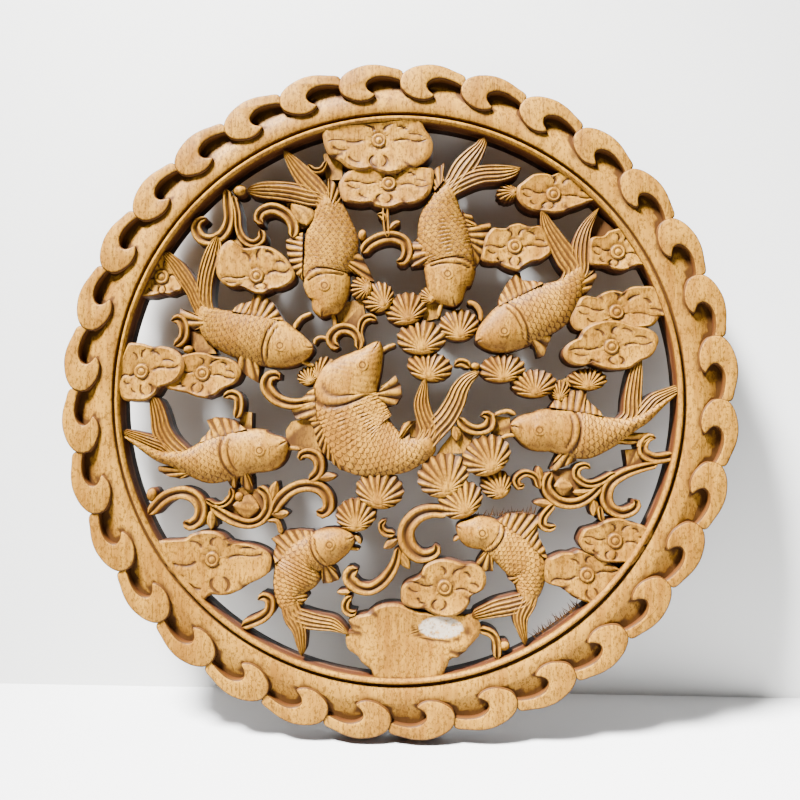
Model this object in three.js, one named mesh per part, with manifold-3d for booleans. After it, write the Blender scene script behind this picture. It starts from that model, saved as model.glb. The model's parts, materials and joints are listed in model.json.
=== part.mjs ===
// Round openwork wall panel, carved from one glued-up board of pale wood.
// A border of curling wave crests, a groove and a bead frame nine carp among
// lotus leaves, fans of coral and curling water weed, all sawn through to a flat back.
// Millimetres, +Z up. The panel hangs upright: its back lies in the plane y = 0,
// its front faces -Y, and the origin is the hanging point at the top of the back.

import * as THREE from 'three';
import Module from 'manifold-3d';

const wasm = await Module();
wasm.setup();

// Driving dimensions of the board and its border
const PANEL_DIAMETER = 500;
const PANEL_THICKNESS = 24;
const BORDER_WIDTH = 44;
const BEAD_WIDTH = 4.6;
const BEAD_DROP = 0.8;
const BEAD_SHOULDER_DROP = 2.6;
const GROOVE_WIDTH = 2.4;
const GROOVE_DROP = 5;
const BAND_DROP = 2.6;
const HOLLOW_WIDTH = 17;
const HOLLOW_DROP = 9;
const CREST_COUNT = 32;
const CREST_DEPTH = 6.5;
const CREST_REACH = 28;
const BORDER_SIDES = 64;
const HANGING_INSET = 22;

// Driving depths and sizes of the carving
const FISH_EDGE_DROP = 10;
const FISH_TAIL_DROP = 5;
const FISH_NOSE_DROP = 4.5;
const CROWN_SHARE = 0.4;
const FIN_ROOT_DROP = 5;
const FIN_RIM_DROP = 7.5;
const LOBE_SLANT = 1.2;
const EYE_RADIUS = 3.6;
const EYE_HEIGHT = 1;
const LEAF_DISH = 1.6;
const BOSS_RADIUS = 4.4;
const BOSS_HEIGHT = 2.4;
const FAN_DROP = 5;
const FAN_FALL = 4;
const FLUTE_DEPTH = 1.7;
const FLUTE_COUNT = 5;
const SCROLL_DROP = 5;
const SCROLL_SLANT = 1.4;
const PETAL_DROP = 6;
const PETAL_FALL = 3;
const BUD_DROP = 5;
const BUD_FALL = 4;
const INSET_BASE = 6;
const GROUND_DROP = 11;
const WHISKER_DROP = 9;

// The carving is drawn in hundredths of the field's radius, right and up from its centre.
const OUTER_RADIUS = PANEL_DIAMETER / 2;
const FIELD_RADIUS = OUTER_RADIUS - BORDER_WIDTH;
const UNIT = FIELD_RADIUS / 100;
const CENTRE_UP = HANGING_INSET - OUTER_RADIUS;

// Carp: spine from the mouth to the tail as [right, up, half girth], tail lobes and whiskers
// as ribbons in the same form, fins as a root line and a rim, the eye, and a depth below the front.
const CARP = [
  {
    drop: 0.6,
    eye: [-26, 39.3],
    spine: [[-27.3, 28, 2.6], [-26.9, 30.5, 4.9], [-25.6, 34, 6.9], [-25.4, 39, 8.4], [-25.7, 45, 9],
      [-24.8, 52, 9.9], [-24.3, 58, 9.6], [-24.4, 64, 7.1], [-25.8, 69.5, 5.3], [-28, 74, 4]],
    lobes: [
      [[-27.5, 73, 3.4], [-31.5, 77, 4], [-35.5, 81.5, 3.4], [-39, 86, 2.2], [-42.5, 90.5, 0.8]],
      [[-28, 72, 3.4], [-32, 72.8, 3.6], [-38, 74.2, 3.6], [-44, 75, 3.4], [-50, 75.2, 2.9], [-55.3, 75, 1.2]],
    ],
    fins: [
      { root: [[-34, 59.5], [-33.5, 43]], rim: [[-38, 58.5], [-41, 56.5], [-39.6, 49], [-37.5, 45], [-34.6, 41.6]] },
      { root: [[-26, 74], [-22, 66.5]], rim: [[-25.5, 80], [-22.5, 77.3], [-20.9, 73], [-21.3, 69]] },
      { root: [[-20.5, 53], [-18.3, 45.5]], rim: [[-16, 53.7], [-12.8, 50.5], [-10.2, 45.5], [-8.3, 41.5], [-12, 42], [-16.3, 44.5]] },
    ],
    whiskers: [
      [[-30.5, 30, 0.8], [-34.5, 28.2, 0.8], [-36.8, 25.5, 0.9], [-37.2, 23.5, 0.9]],
      [[-24, 31, 0.8], [-22.7, 27.5, 0.8], [-22.3, 24.5, 0.8]],
    ],
  },
  {
    drop: 0.4,
    eye: [18.4, 43.4],
    spine: [[21, 31.5, 3], [20.2, 34.5, 5.2], [19, 39, 7.6], [19.2, 45, 9.2], [19.2, 50, 9.1],
      [17.8, 55, 9.5], [16.7, 60, 9.5], [16.3, 65, 8.2], [16.9, 70, 5.9], [18, 74.5, 4], [19, 77.5, 3.5]],
    lobes: [
      [[18.5, 77, 3.4], [22.5, 83.5, 4.2], [26.8, 87.8, 3.8], [30, 91.5, 2.5], [31.3, 95.5, 1.8]],
      [[19.5, 77, 3.6], [26, 79.8, 3.7], [32, 81, 3.4], [38, 81.6, 2.7], [42.5, 82.6, 1.5], [45, 83, 0.5]],
    ],
    fins: [
      { root: [[12.5, 74.5], [18, 79.5]], rim: [[12.8, 81.5], [16.6, 85.3], [17.6, 81]] },
      { root: [[23.5, 67], [27, 47]], rim: [[27, 65.2], [29.6, 62.3], [33.8, 63.2], [34.3, 57], [32, 52], [28.6, 47]] },
      { root: [[13, 55.5], [11.5, 48.5]], rim: [[9, 58], [5.5, 57], [4, 53.5], [3.8, 49], [7, 48], [10, 47.6]] },
    ],
    whiskers: [[[17.2, 35, 0.8], [15.8, 31, 0.8], [14.8, 28.3, 0.9]]],
  },
  {
    drop: 0,
    eye: [38.5, 23],
    spine: [[28.2, 19.2, 2], [31.3, 20.5, 4.9], [36.3, 22.5, 7.3], [41.5, 25.2, 8.8], [48.5, 29, 9.5],
      [55.3, 33, 8.5], [61.5, 38.2, 5.7], [65.3, 44, 4], [66.3, 48.5, 3.2]],
    lobes: [
      [[64.5, 45, 3.2], [61, 50.5, 4.1], [56.8, 56.5, 3.8], [53.8, 62, 2.6], [52.2, 68.3, 0.5]],
      [[66, 47, 3], [66.3, 54, 3.5], [68, 60, 2], [70, 64.5, 1.3], [72.4, 68.8, 0.8]],
    ],
    fins: [
      { root: [[37.5, 31], [52, 39]], rim: [[36.6, 34.5], [39.5, 40.8], [44.8, 45.8], [46, 42], [52, 41]] },
      { root: [[63, 36.5], [66, 42]], rim: [[68, 36.8], [70, 39.8], [72.2, 46], [69, 43.6]] },
      { root: [[49, 27], [48, 20]], rim: [[53.2, 26], [56.2, 22.6], [54.5, 18], [52, 13.8], [50.2, 15]] },
    ],
    whiskers: [[[34, 16.5, 0.9], [31, 14.8, 0.9], [28.5, 12.5, 1]]],
  },
  {
    drop: 0,
    eye: [51.1, -12.3],
    spine: [[40.8, -10.7, 2.6], [44.5, -11, 4.7], [49, -12.3, 6.8], [55, -12.1, 8.2], [61, -12.7, 8.9], [67, -13.5, 8.9],
      [73, -13.6, 7.1], [78.5, -12.8, 4.9], [84, -9.9, 2.5], [89, -7.7, 1.9], [94, -3.6, 1.2], [100.5, 1.4, 0.7]],
    lobes: [
      [[83, -9.5, 3], [85.2, -2, 3], [85.3, 4, 2.6], [85.6, 9, 2.3], [86.6, 13, 1.2], [87.1, 15.5, 0.4]],
      [[85.5, -6.5, 3], [90, -2.5, 3], [94.5, 0.2, 1.9], [100.5, 3, 1.5]],
    ],
    fins: [
      { root: [[55.5, -4.5], [73.5, -7]], rim: [[55, -3.2], [58, 0], [62.5, 2.2], [68.8, 2.4], [67.8, -0.8], [72.6, -4.6]] },
      { root: [[60.3, -16], [65.5, -18.2]], rim: [[57.5, -22], [55.2, -26.5], [60.5, -25], [64.3, -23], [66, -20]] },
      { root: [[79, -11.5], [79, -17]], rim: [[84, -12], [90.4, -12.7], [88, -15.6], [82.5, -17.6]] },
    ],
    whiskers: [
      [[42, -6.8, 0.9], [39, -5.9, 0.9], [34.5, -6.8, 0.9]],
      [[43, -14, 0.8], [39.5, -14.6, 0.8], [37, -16.4, 0.8]],
    ],
  },
  {
    drop: 0.4,
    eye: [30.9, -48.8],
    spine: [[21.5, -46, 2.2], [24.5, -46.9, 3.8], [28, -48.7, 6], [33, -49.5, 6.2], [37.8, -51.5, 6.4], [41.2, -55.2, 7.1],
      [45, -59.3, 7], [47.6, -64.2, 6], [47.9, -69, 4.6], [47.3, -73, 3.6]],
    lobes: [
      [[47.5, -72.5, 3.4], [41, -74.4, 3.4], [36, -75.4, 3.3], [32.5, -76.3, 2.9], [29.5, -77.8, 2.7], [26, -79.5, 2]],
      [[47.2, -72, 3.6], [44.8, -77.5, 3.1], [44.8, -81, 2.3], [45.6, -84.5, 1.6], [46.6, -88.3, 0.8]],
    ],
    fins: [
      { root: [[37, -45.5], [52, -57.5]], rim: [[37, -43.6], [40.5, -42.2], [46, -41.6], [51.8, -43.3], [50.6, -46], [51.4, -51], [54.2, -57.6]] },
      { root: [[35, -54.5], [36, -60]], rim: [[31.5, -57], [28.9, -59.6], [31.5, -62.6], [35, -62.4]] },
      { root: [[41, -62], [44.5, -67]], rim: [[40, -64.5], [42.7, -67.6]] },
    ],
    whiskers: [[[25.5, -49.9, 0.8], [22.5, -50.4, 0.7], [20.8, -51.9, 0.5]]],
  },
  {
    drop: 0.6,
    eye: [-23, -53.6],
    spine: [[-14, -50.6, 2], [-17.5, -52.2, 4.5], [-21.5, -54, 6.5], [-26.5, -56.3, 7.3], [-31.5, -59.5, 7.8],
      [-35.3, -64.3, 8.6], [-37.5, -69, 6.4], [-37.8, -73.5, 4.6], [-36.5, -77.5, 4.1]],
    lobes: [
      [[-36.8, -76.5, 3.6], [-31.5, -80.2, 3.4], [-26.5, -81.2, 3], [-21.5, -82.2, 2.4], [-15.6, -85.3, 0.5]],
      [[-36.5, -77, 3.8], [-34.5, -82, 3.8], [-33.2, -85.5, 2.6], [-33, -89, 1.9], [-32.4, -94.5, 1.5]],
    ],
    fins: [
      { root: [[-27.5, -50], [-42.5, -60]], rim: [[-27.5, -48.6], [-35, -48.3], [-42.3, -50], [-45, -52], [-43, -55.2], [-44.4, -59.8]] },
      { root: [[-28.5, -61], [-22, -60]], rim: [[-26.2, -67.7], [-22.8, -67.2], [-19.6, -66.2], [-21.5, -61.8]] },
    ],
    whiskers: [
      [[-17, -54, 0.8], [-14.8, -55, 0.8], [-12.8, -55.7, 0.6]],
      [[-15.5, -48.9, 1.2], [-13.2, -49.4, 1], [-12.4, -51.8, 0.6]],
    ],
  },
  {
    drop: 0.2,
    eye: [-48.6, -20.2],
    spine: [[-38.8, -16.5, 2], [-41.3, -17.8, 4.5], [-45.7, -20, 7.1], [-52, -20.5, 8.2], [-60, -22.3, 8.8], [-68, -24.3, 8],
      [-75, -24.6, 4.9], [-80.5, -23.9, 3.3], [-86, -22.8, 2.2], [-92, -19.4, 1.4], [-99.3, -15.2, 0.8]],
    lobes: [
      [[-79, -22.5, 3.2], [-83, -17, 4.6], [-85, -11, 3.6], [-85.1, -5, 3.8], [-84.8, 1, 3.8]],
      [[-83.5, -20, 2.4], [-90, -17.2, 2.3], [-95, -15.2, 1.6], [-99.8, -13.6, 1.2]],
    ],
    fins: [
      { root: [[-52, -13.5], [-71, -18.5]], rim: [[-51.5, -12.2], [-56, -11], [-60, -9], [-65, -8.2], [-68.9, -9.2], [-67.4, -11], [-69.2, -15]] },
      { root: [[-60.5, -27.5], [-53.3, -27.5]], rim: [[-61.5, -32], [-57.5, -33.9], [-54.5, -33.5], [-51.2, -34.8], [-51.8, -30]] },
      { root: [[-75, -25.5], [-73, -30]], rim: [[-80, -26.5], [-86.2, -26.4], [-84.8, -29.3], [-79, -30.6]] },
    ],
    whiskers: [[[-41, -21, 0.8], [-37.5, -19.7, 0.8], [-34, -19.6, 0.8]]],
  },
  {
    drop: 0.2,
    eye: [-42, 17.6],
    spine: [[-30, 16.5, 2.3], [-33.3, 16.3, 4.8], [-38.6, 17, 7.2], [-45, 19.3, 9], [-52.3, 21, 8.8], [-60, 22.5, 8.3],
      [-66.3, 25.3, 6.2], [-71, 29.5, 4.4], [-74.5, 34, 3.7], [-78, 39.3, 2.1], [-81.5, 44.2, 1.4], [-86.3, 51.3, 0.7]],
    lobes: [
      [[-73, 34, 3], [-76.3, 41, 2.8], [-79.5, 46, 2.3], [-84.8, 51.8, 0.8]],
      [[-72.8, 32.5, 3.6], [-71, 40, 2.9], [-69.8, 45.5, 2.6], [-68, 51, 2.1], [-66.6, 57, 0.5]],
    ],
    fins: [
      { root: [[-61, 29.8], [-41, 25]], rim: [[-60.5, 31.3], [-58, 33], [-52.8, 34.8], [-53, 37.8], [-49.3, 37.4], [-44, 32.5], [-39.8, 26]] },
      { root: [[-74, 30], [-70, 24.2]], rim: [[-80.2, 31.6], [-79.3, 29], [-76.5, 25.8], [-74.3, 23.6]] },
      { root: [[-57.8, 17], [-50, 14.5]], rim: [[-58.3, 12], [-57.3, 9], [-54.5, 7.2], [-50.3, 4.2], [-50.2, 9]] },
    ],
    whiskers: [
      [[-31, 18, 0.9], [-28.3, 20, 0.8], [-24.5, 20.3, 0.9]],
      [[-35.5, 12.8, 0.8], [-33, 11.3, 0.8], [-29.5, 10.2, 0.8]],
    ],
  },
  {
    drop: 0,
    eye: [-12, 10.4],
    spine: [[-6.2, 19.3, 1.8], [-8.5, 15, 4.4], [-11.5, 11, 7.2], [-15, 6.2, 10], [-18.3, 0.5, 12.2], [-16.2, -7.7, 13],
      [-13.3, -13.6, 12.8], [-9, -17.8, 11.5], [-2.8, -20.6, 8.6], [3.2, -21.2, 6.6], [9.2, -19, 4.9], [13, -14.5, 4.8]],
    lobes: [
      [[12.4, -15, 4.2], [11.2, -8, 3.6], [9.9, -3.5, 2.8], [9.4, 0.5, 2.2], [9.9, 4, 1.3], [10.7, 7.4, 0.4]],
      [[13.5, -15, 4.4], [18, -9.5, 4], [21, -4, 3.7], [22.6, 0.5, 3.1], [24.5, 4.5, 2.6], [27.3, 7, 1.7], [31, 8.5, 0.8]],
    ],
    fins: [
      { root: [[-7, 2.5], [-6, -4.5]], rim: [[-3.4, 4.6], [-0.2, 7.5], [2, 3.5], [2.2, -1], [0, -3.3], [-4, -4.8]] },
      { root: [[-29.5, 3], [-28, -9]], rim: [[-34.5, -2.5], [-37.5, -5.5], [-38.2, -7.5], [-35.3, -8.8], [-34.7, -13.5], [-33, -10.5], [-29.6, -10.3]] },
      { root: [[-28.5, -8], [-19, -24.5]], rim: [[-30.5, -9.5], [-28.6, -14.5], [-26.2, -20.5], [-23.2, -22.5], [-20.6, -25.8], [-15, -27.4]] },
      { root: [[0, -14], [3, -19]], rim: [[2, -11], [5, -9.3], [5, -13], [6.4, -17]] },
    ],
    whiskers: [
      [[-6.8, 16.5, 0.9], [-3, 17.5, 0.8], [0.8, 18.6, 0.9]],
      [[4.4, -10.2, 0.7], [6.5, -8.7, 0.7], [8.6, -9.6, 0.8]],
    ],
  },
];

// Lotus leaves: the boss, a depth below the front, and the notches anticlockwise round the edge,
// each with the bulge of the lobe that follows it.
const LEAVES = [
  { boss: [-6.9, 93], drop: 2.6, notches: [[11, 98.8, 2.2], [-27.7, 96.8, 0.6], [-25.8, 88.2, 2.8], [-9.3, 83.8, 2.6], [3, 83.5, 5.8]] },
  { boss: [-3.2, 77.3], drop: 4, notches: [[12, 84, 1], [-19, 84, 2], [-20.2, 71.3, 0.8], [-11.5, 69.9, 1.9], [0.5, 69.7, 0.9], [10.5, 72, 1.5]] },
  { boss: [-51.5, 45.5], drop: 4, notches: [[-36.5, 44, 1.5], [-43.5, 53, 1.9], [-56, 52.3, 1.2], [-65.2, 46.5, 1.2], [-60.8, 39.2, 0.3], [-56.5, 38.7, 1.2], [-47, 38, 1.6]] },
  { boss: [-86.7, 43.5], drop: 6, notches: [[-78.5, 38, 0], [-85, 50.8, 0.8], [-94.5, 36, 0.3], [-87.6, 36.8, 0.6]] },
  { boss: [56.5, 73], drop: 3.6, notches: [[70, 71.4, 1.3], [57.5, 81.4, 1.3], [44, 76.5, 0.6], [43.8, 70.5, 1], [51.5, 66.7, 1.4], [62.8, 68, 0.4]] },
  { boss: [42.7, 54.2], drop: 4.4, notches: [[55.5, 52.5, 1], [51, 61.2, 0], [48, 61, 1.6], [39.8, 60.8, 0.3], [34.3, 60.3, 0], [29, 50, 0.4], [37.2, 47.8, 2.7], [47.8, 47.9, 1.1]] },
  { boss: [79.5, 52], drop: 4, notches: [[87.9, 47.6, 1.2], [79.3, 60.9, 0], [69, 57, 0], [68, 47.8, 0.2], [75.5, 46.7, 1.4], [84.8, 46.6, 0]] },
  { boss: [78.7, 30.5], drop: 4.6, notches: [[95.3, 29.6, 1], [91.6, 40, 1.2], [82, 38, 1.2], [71.5, 35.6, 1.6], [64.2, 31.8, 0.2], [62.3, 27, 0.8], [66, 23.5, 0], [90.3, 25, 0.6]] },
  { boss: [77, 17.6], drop: 2.8, notches: [[90, 24.6, 4], [64.8, 21.5, 7.6], [69.3, 11.1, 1.2], [83.4, 10.1, 0], [88.3, 13.1, 4.3]] },
  { boss: [-92.6, 8.2], drop: 2.8, notches: [[-84.8, 2.7, 10.8], [-89.3, 17.1, 1.2], [-98.4, 17.6, 1.6], [-99.8, -1.5, 0.8], [-90, -2.2, 0.3]] },
  { boss: [-70.3, 7.5], drop: 4.2, notches: [[-63, 1.3, 7.6], [-65, 13.8, 1.6], [-77, 13.5, 0], [-83.5, 2.6, 0.5], [-75, 0.1, 2.4]] },
  { boss: [-65.4, -59.3], drop: 2.8, notches: [[-66.5, -72.6, 0.6], [-55.5, -70.4, 0.9], [-45, -64, 5.2], [-56.8, -53.5, 0], [-60.5, -51.7, 2.2], [-74, -50.8, 0.7], [-84.8, -53.5, 2.4]] },
  { boss: [5, -86], drop: 4.6, notches: [[18.4, -97.2, 0], [19.9, -93, 1.2], [30.3, -84.5, 1], [27.5, -76.5, 0], [3.5, -74.7, 1.7], [-8.5, -77, 0.8], [-16.8, -80.6, 0], [-15, -84.2, 3.3], [-13.2, -92.3, 0.8], [-8.5, -97.4, 3]] },
  { boss: [17.8, -68.1], drop: 2.6, notches: [[27.2, -71, 6.2], [25.2, -59.8, 3.4], [9.7, -63, 7.8], [10.4, -75.8, 3.5], [26.5, -74, 0.2]] },
  { boss: [77.7, -51], drop: 2.8, notches: [[88.9, -46.8, 2.7], [72.3, -45.3, 6.5], [70.7, -56.7, 1.3], [81.3, -58.8, 0.8]] },
  { boss: [68, -63.2], drop: 4.4, notches: [[79.4, -61, 1], [65.5, -54.3, 0], [62.3, -55.6, 1], [53, -59, 0.4], [53.3, -65.3, 0.6], [60.8, -69.2, 0.5], [68.5, -73.4, 1]] },
];

// Ribbed fans: middle, half width, half height, and the turn of the fan anticlockwise in degrees
const FANS = [
  [-13.2, 39.2, 4.8, 4.6, 80], [-7, 35.8, 6, 5.5, 40], [3.4, 31.7, 7.9, 6, 12], [11, 35.6, 4.8, 4.4, -20],
  [9, 20.7, 9.1, 6.8, 5], [22.3, 25.8, 7.4, 6.4, 5], [16, 23.5, 4, 5.5, -10], [12, 10.7, 8.4, 6, 0],
  [38.2, 9.9, 8.3, 5.7, -3], [49.5, 4.4, 8.1, 5.4, 0], [69, 6.4, 7.4, 5, 0], [59, 2, 4.8, 4.4, 15],
  [-32.5, 7.3, 4.8, 4.6, 25], [-26.6, 9.6, 5, 5.2, -30], [-5.9, -34, 8.8, 6.9, 0], [-14.2, -43, 7.4, 6.2, 0],
  [17.3, -28.2, 9.8, 7.8, 15], [32.3, -21.3, 9.2, 7.4, 15], [35.8, -31.5, 5.9, 6, -5], [23.2, -37.2, 8.2, 7, 12],
];

// Curling weed: channelled ribbons as [right, up, half width]
const SCROLLS = [
  [[-63.4, 78, 1.7], [-62, 71, 1.9], [-61.2, 64.5, 2.1], [-63, 59.5, 2.5], [-67, 57, 2.5], [-71, 57.8, 2.3], [-73, 61, 2], [-72, 64.3, 1.5], [-69.3, 64.9, 0.9]],
  [[-59, 73.5, 1.2], [-58.2, 66, 1.2], [-57.8, 60, 1.4], [-55.5, 56.2, 1.8], [-51.5, 55.2, 1.8], [-48.5, 57.5, 1.9], [-48.3, 60.5, 1.5], [-47.4, 62.4, 0.8]],
  [[-37.6, 57, 1.5], [-36.9, 61, 1.8], [-38, 65, 2], [-41, 68, 2.1], [-45.5, 69, 2.2], [-49.5, 68, 2.2], [-50.4, 65.5, 1.8], [-48.8, 63.8, 1.3], [-47, 63, 0.7]],
  [[-13.4, 51, 1.9], [-9.5, 55.3, 2.1], [-4, 57.8, 2.1], [1, 57.2, 2.2], [3.6, 54, 2.2], [3.4, 50.5, 2], [1.2, 48.6, 1.9], [-1.2, 49.4, 1]],
  [[-4, 59.5, 1.2], [-3.8, 63.5, 1.3], [-4.8, 66.8, 1.4], [-6.8, 67.3, 1], [-7.8, 65.4, 0.6]],
  [[-34, 84, 1], [-31, 81.5, 1.2], [-28.3, 81, 1.4], [-27, 83.5, 1.2], [-26.2, 86.8, 0.6]],
  [[-79.8, 16.5, 1.8], [-77.3, 20, 1.6], [-76.8, 23.6, 1.7], [-78.3, 26.8, 1.7], [-81, 27.4, 1.4], [-82.6, 25.8, 0.7]],
  [[-57.7, -9.5, 1.7], [-57, -4.5, 1.5], [-57.8, -1.3, 1.5], [-60.3, 0.3, 1.5], [-62.8, -0.2, 1], [-63.4, -1.7, 0.5]],
  [[-41.6, 5.2, 0.8], [-43.5, 7, 1.6], [-46.3, 6.6, 2.1], [-47.5, 3.5, 2.3], [-46.3, 0, 2.3], [-43, -2.7, 2.2], [-38.5, -3.2, 2], [-34, -2, 1.8], [-29, 1, 1.4]],
  [[-13.2, 15.5, 1.6], [-14.6, 21, 1.8], [-17.2, 23.5, 2], [-20.8, 23.5, 2.2], [-23, 21, 2.1], [-22.9, 18.2, 1.8], [-20.8, 17.2, 1.2], [-19.5, 17.9, 0.6]],
  [[-11.8, 17, 1], [-12, 23, 1.2], [-11.6, 26.5, 1.4], [-9.5, 28.3, 1.3], [-7, 26.8, 0.9]],
  [[30.5, -7, 0.8], [32.6, -7.3, 1.7], [33.4, -9.6, 2.2], [31.5, -11.9, 2.1], [28, -12.3, 1.9], [24.8, -11, 2], [22.4, -7.5, 2]],
  [[20.5, 11.5, 0.9], [23, 12.7, 1.2], [25, 11.2, 1.2], [25.8, 7.5, 1]],
  [[-90, -44.5, 2.4], [-86.3, -39.8, 2.4], [-82.5, -36.9, 2.4], [-77.5, -35.9, 2.4], [-73, -37, 2.5], [-70.3, -40.5, 2.5], [-70.2, -44.5, 2.4], [-72.5, -47.4, 2.4], [-75.3, -47.6, 2.2], [-77, -45.6, 1.5]],
  [[-70.5, -38.3, 1], [-66.5, -41, 1.8], [-62.5, -43.5, 2.2], [-57.5, -45.9, 2.2], [-52, -46.8, 2.1], [-47.5, -44.8, 2.2], [-45.3, -40.8, 2.2], [-46, -36.8, 2.2], [-48.8, -34, 1.8], [-53, -32.5, 1]],
  [[-69, -37.5, 0.7], [-64.5, -39.8, 0.9], [-61, -38.8, 1.1], [-60, -36, 1], [-61.5, -32.5, 0.9]],
  [[-47, -45.8, 0.9], [-43, -45.6, 0.9], [-41, -47.2, 0.9], [-40.8, -50.5, 0.8]],
  [[-46, -44, 2], [-42.3, -38.8, 2.2], [-38.5, -35, 2.3], [-34.5, -33.1, 2.2], [-30.5, -32.8, 2.2], [-26.6, -34, 2.4], [-24.2, -37, 2.5], [-24.2, -40.5, 2.4], [-26.3, -42.7, 2.2], [-28.6, -42, 1.4]],
  [[-33.6, -24.4, 0.6], [-34.2, -21.9, 1.3], [-31.8, -20.8, 1.8], [-28.9, -22.2, 2.2], [-27.7, -25.3, 2.2], [-28.8, -28.7, 2.1], [-33.5, -32, 1.7]],
  [[20.5, -42.4, 1.8], [14.5, -41.3, 2], [9.3, -42.4, 2.3], [5, -45.8, 2.8], [3.9, -50.3, 3.1], [5.4, -54.7, 2.9], [9, -57.3, 2.6], [12.5, -56.9, 2], [14.9, -55.2, 1.6], [14.3, -53, 0.9]],
  [[-4, -44.2, 0.8], [-4.6, -46.8, 1.3], [-2.8, -48.9, 1.5], [2, -49.2, 1.3]],
  [[2.2, -53.5, 1.3], [0.6, -58.5, 1.7], [-0.8, -62.3, 2], [-4, -66.5, 2.4], [-8.3, -69.2, 2.4], [-12.7, -69.2, 2.5], [-15.8, -66.6, 2.8], [-16, -63.7, 2.4], [-14, -62, 1.5], [-12.2, -62.6, 0.8]],
  [[-14.8, -71, 1], [-17.4, -73.8, 1.3], [-17.6, -76.8, 1.5], [-15.5, -78.2, 1.4], [-13.2, -77.3, 0.8]],
  [[52.5, -34.5, 1], [50.2, -29.7, 1.4], [46.8, -27.8, 1.6], [43.8, -29.3, 1.7], [43.8, -32, 1.5], [45.7, -32.8, 1.1], [46.8, -31.4, 0.6]],
  [[56.8, -25.6, 1.6], [53.8, -29.5, 1.9], [53.6, -33.5, 2], [56, -36.9, 2], [60.3, -38.5, 1.9], [65, -38.2, 1.8], [69, -36, 1.7], [74, -32, 1.3]],
  [[78.5, -27, 1.2], [72.5, -30.2, 1.4], [68, -31, 1.5], [64.6, -29.3, 1.6], [63.9, -26.3, 1.5], [66.2, -24.5, 1.3], [68.8, -25, 1], [69.5, -26.4, 0.5]],
  [[96.5, -24.4, 1.4], [86.5, -25.3, 1.6], [80.7, -27.8, 1.8], [76.6, -31.3, 2.2], [75, -35.8, 2.4], [76.4, -39.7, 2.3], [80.3, -41.4, 2.3], [84.3, -40.2, 2], [85.6, -37.7, 1.4], [84.4, -36.2, 0.8]],
  [[88, -15, 1.4], [87.9, -19.8, 1.9], [90.5, -22.3, 1.9], [94.3, -22.8, 1.8], [99.5, -20.8, 1.8]],
  [[57.5, -39.2, 1.4], [53.8, -42, 1.6], [52.7, -44.8, 1.7], [54, -47.1, 1.6], [56.3, -46.9, 1], [57.7, -45.7, 0.5]],
  [[-54.5, -83.3, 1.9], [-48.8, -80.8, 2], [-45.3, -78, 2], [-44.6, -74.5, 1.9], [-46.6, -72.5, 1.3], [-49, -73.8, 0.7]],
  [[29, -83, 1.6], [33.5, -83.3, 1.6], [36, -86, 1.7], [36.6, -92.8, 1.7]],
];

// Small pointed leaves: foot, tip and half width
const PETALS = [
  [-12.1, 54, -12.8, 60.4, 1.5], [-2.5, 59.8, 2.1, 63.2, 1.2], [-67.3, -40.5, -66, -49, 1.7], [-59.5, -33.2, -56.3, -38.2, 1.4],
  [-45, -39, -42.2, -31.2, 1.8], [-45, -44.5, -38, -42.3, 2], [-28, -30.8, -21.2, -29, 1.9], [2, -51.5, -4.2, -55, 1.6],
  [1.5, -55.5, 5.2, -62, 1.7], [-15.5, -71, -20.7, -70.5, 1.1], [52.5, -30, 50.8, -24.9, 1.3], [69, -35.2, 63.2, -34.3, 1],
  [61.8, -25.5, 60.5, -30, 1], [70.6, -36.8, 70.3, -43, 1.9], [56, -38.5, 49.3, -38.2, 1.4], [21.5, -10.5, 21.8, -16.1, 1.8],
  [56, -2.8, 52.3, -0.6, 0.8], [86, -17, 92.8, -14, 1.9], [-33.5, -69.5, -31.3, -74, 2.4], [36.3, 76.4, 44.5, 73.5, 2.6],
];

// Buds: middle, half width and half height
const BUDS = [
  [-57.7, 75, 2.8, 2.2], [-76.4, 16.4, 2.3, 2.3], [28.3, 10.4, 2.2, 1.6], [-88.8, -36.3, 2.2, 3], [38.8, -88.9, 2.2, 1.9],
  [-54, -40.4, 5, 4.9], [60.2, -32, 4.2, 4],
];

// Low ground left between the motifs, as outlines
const GROUNDS = [
  [[-40.5, 70.5], [-34.5, 71.5], [-30, 66.5], [-31, 62.5], [-36, 61.5]],
  [[-60.5, 57], [-56, 56], [-54, 50], [-65, 48], [-63, 54]],
  [[-76, 23.5], [-70, 24], [-63.5, 14], [-75, 14]],
  [[-22, 34], [-17, 36], [-12.5, 35.5], [-11, 30.5], [-12.5, 26.5], [-16, 24.5], [-22.5, 25.5]],
  [[8.5, 28.5], [11, 34], [16, 34.6], [17, 30], [14, 26.5], [10, 26.5]],
  [[34.5, -7.1], [42, -6.8], [42.1, -14.5], [33.5, -14.3]],
  [[14, -21], [17.5, -15], [21, -11], [29, -13.5], [25, -21.5]],
  [[-40, -19.5], [-39.6, -12], [-37.5, -9.3], [-28, -9], [-25.5, -20.5], [-33, -20.5]],
  [[3.5, -9], [9, -8.5], [8.5, -14], [5, -14]],
  [[69, 56], [69.5, 63], [73, 67.2], [79.8, 60.5], [75, 57.5]],
  [[-61.5, -37], [-56.5, -34.5], [-49, -34.5], [-46, -40], [-48, -45], [-56, -46], [-62, -42.5]],
  [[57, -26.5], [64, -25.5], [65, -31], [70, -33.5], [64, -37.5], [57, -36.5], [54.5, -31]],
  [[81, -20.5], [87.5, -20], [89.5, -24.5], [86, -25.5], [82, -24.5]],
  [[71, -40], [75, -40], [75, -45.5], [71, -46]],
  [[-24, 89], [-27, 88.5], [-25.5, 83], [-24.5, 78], [-20.5, 78.5], [-20.5, 84]],
  [[-57, -6], [-52.3, -6.3], [-53, -13.5], [-57, -13.5]],
];

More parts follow.
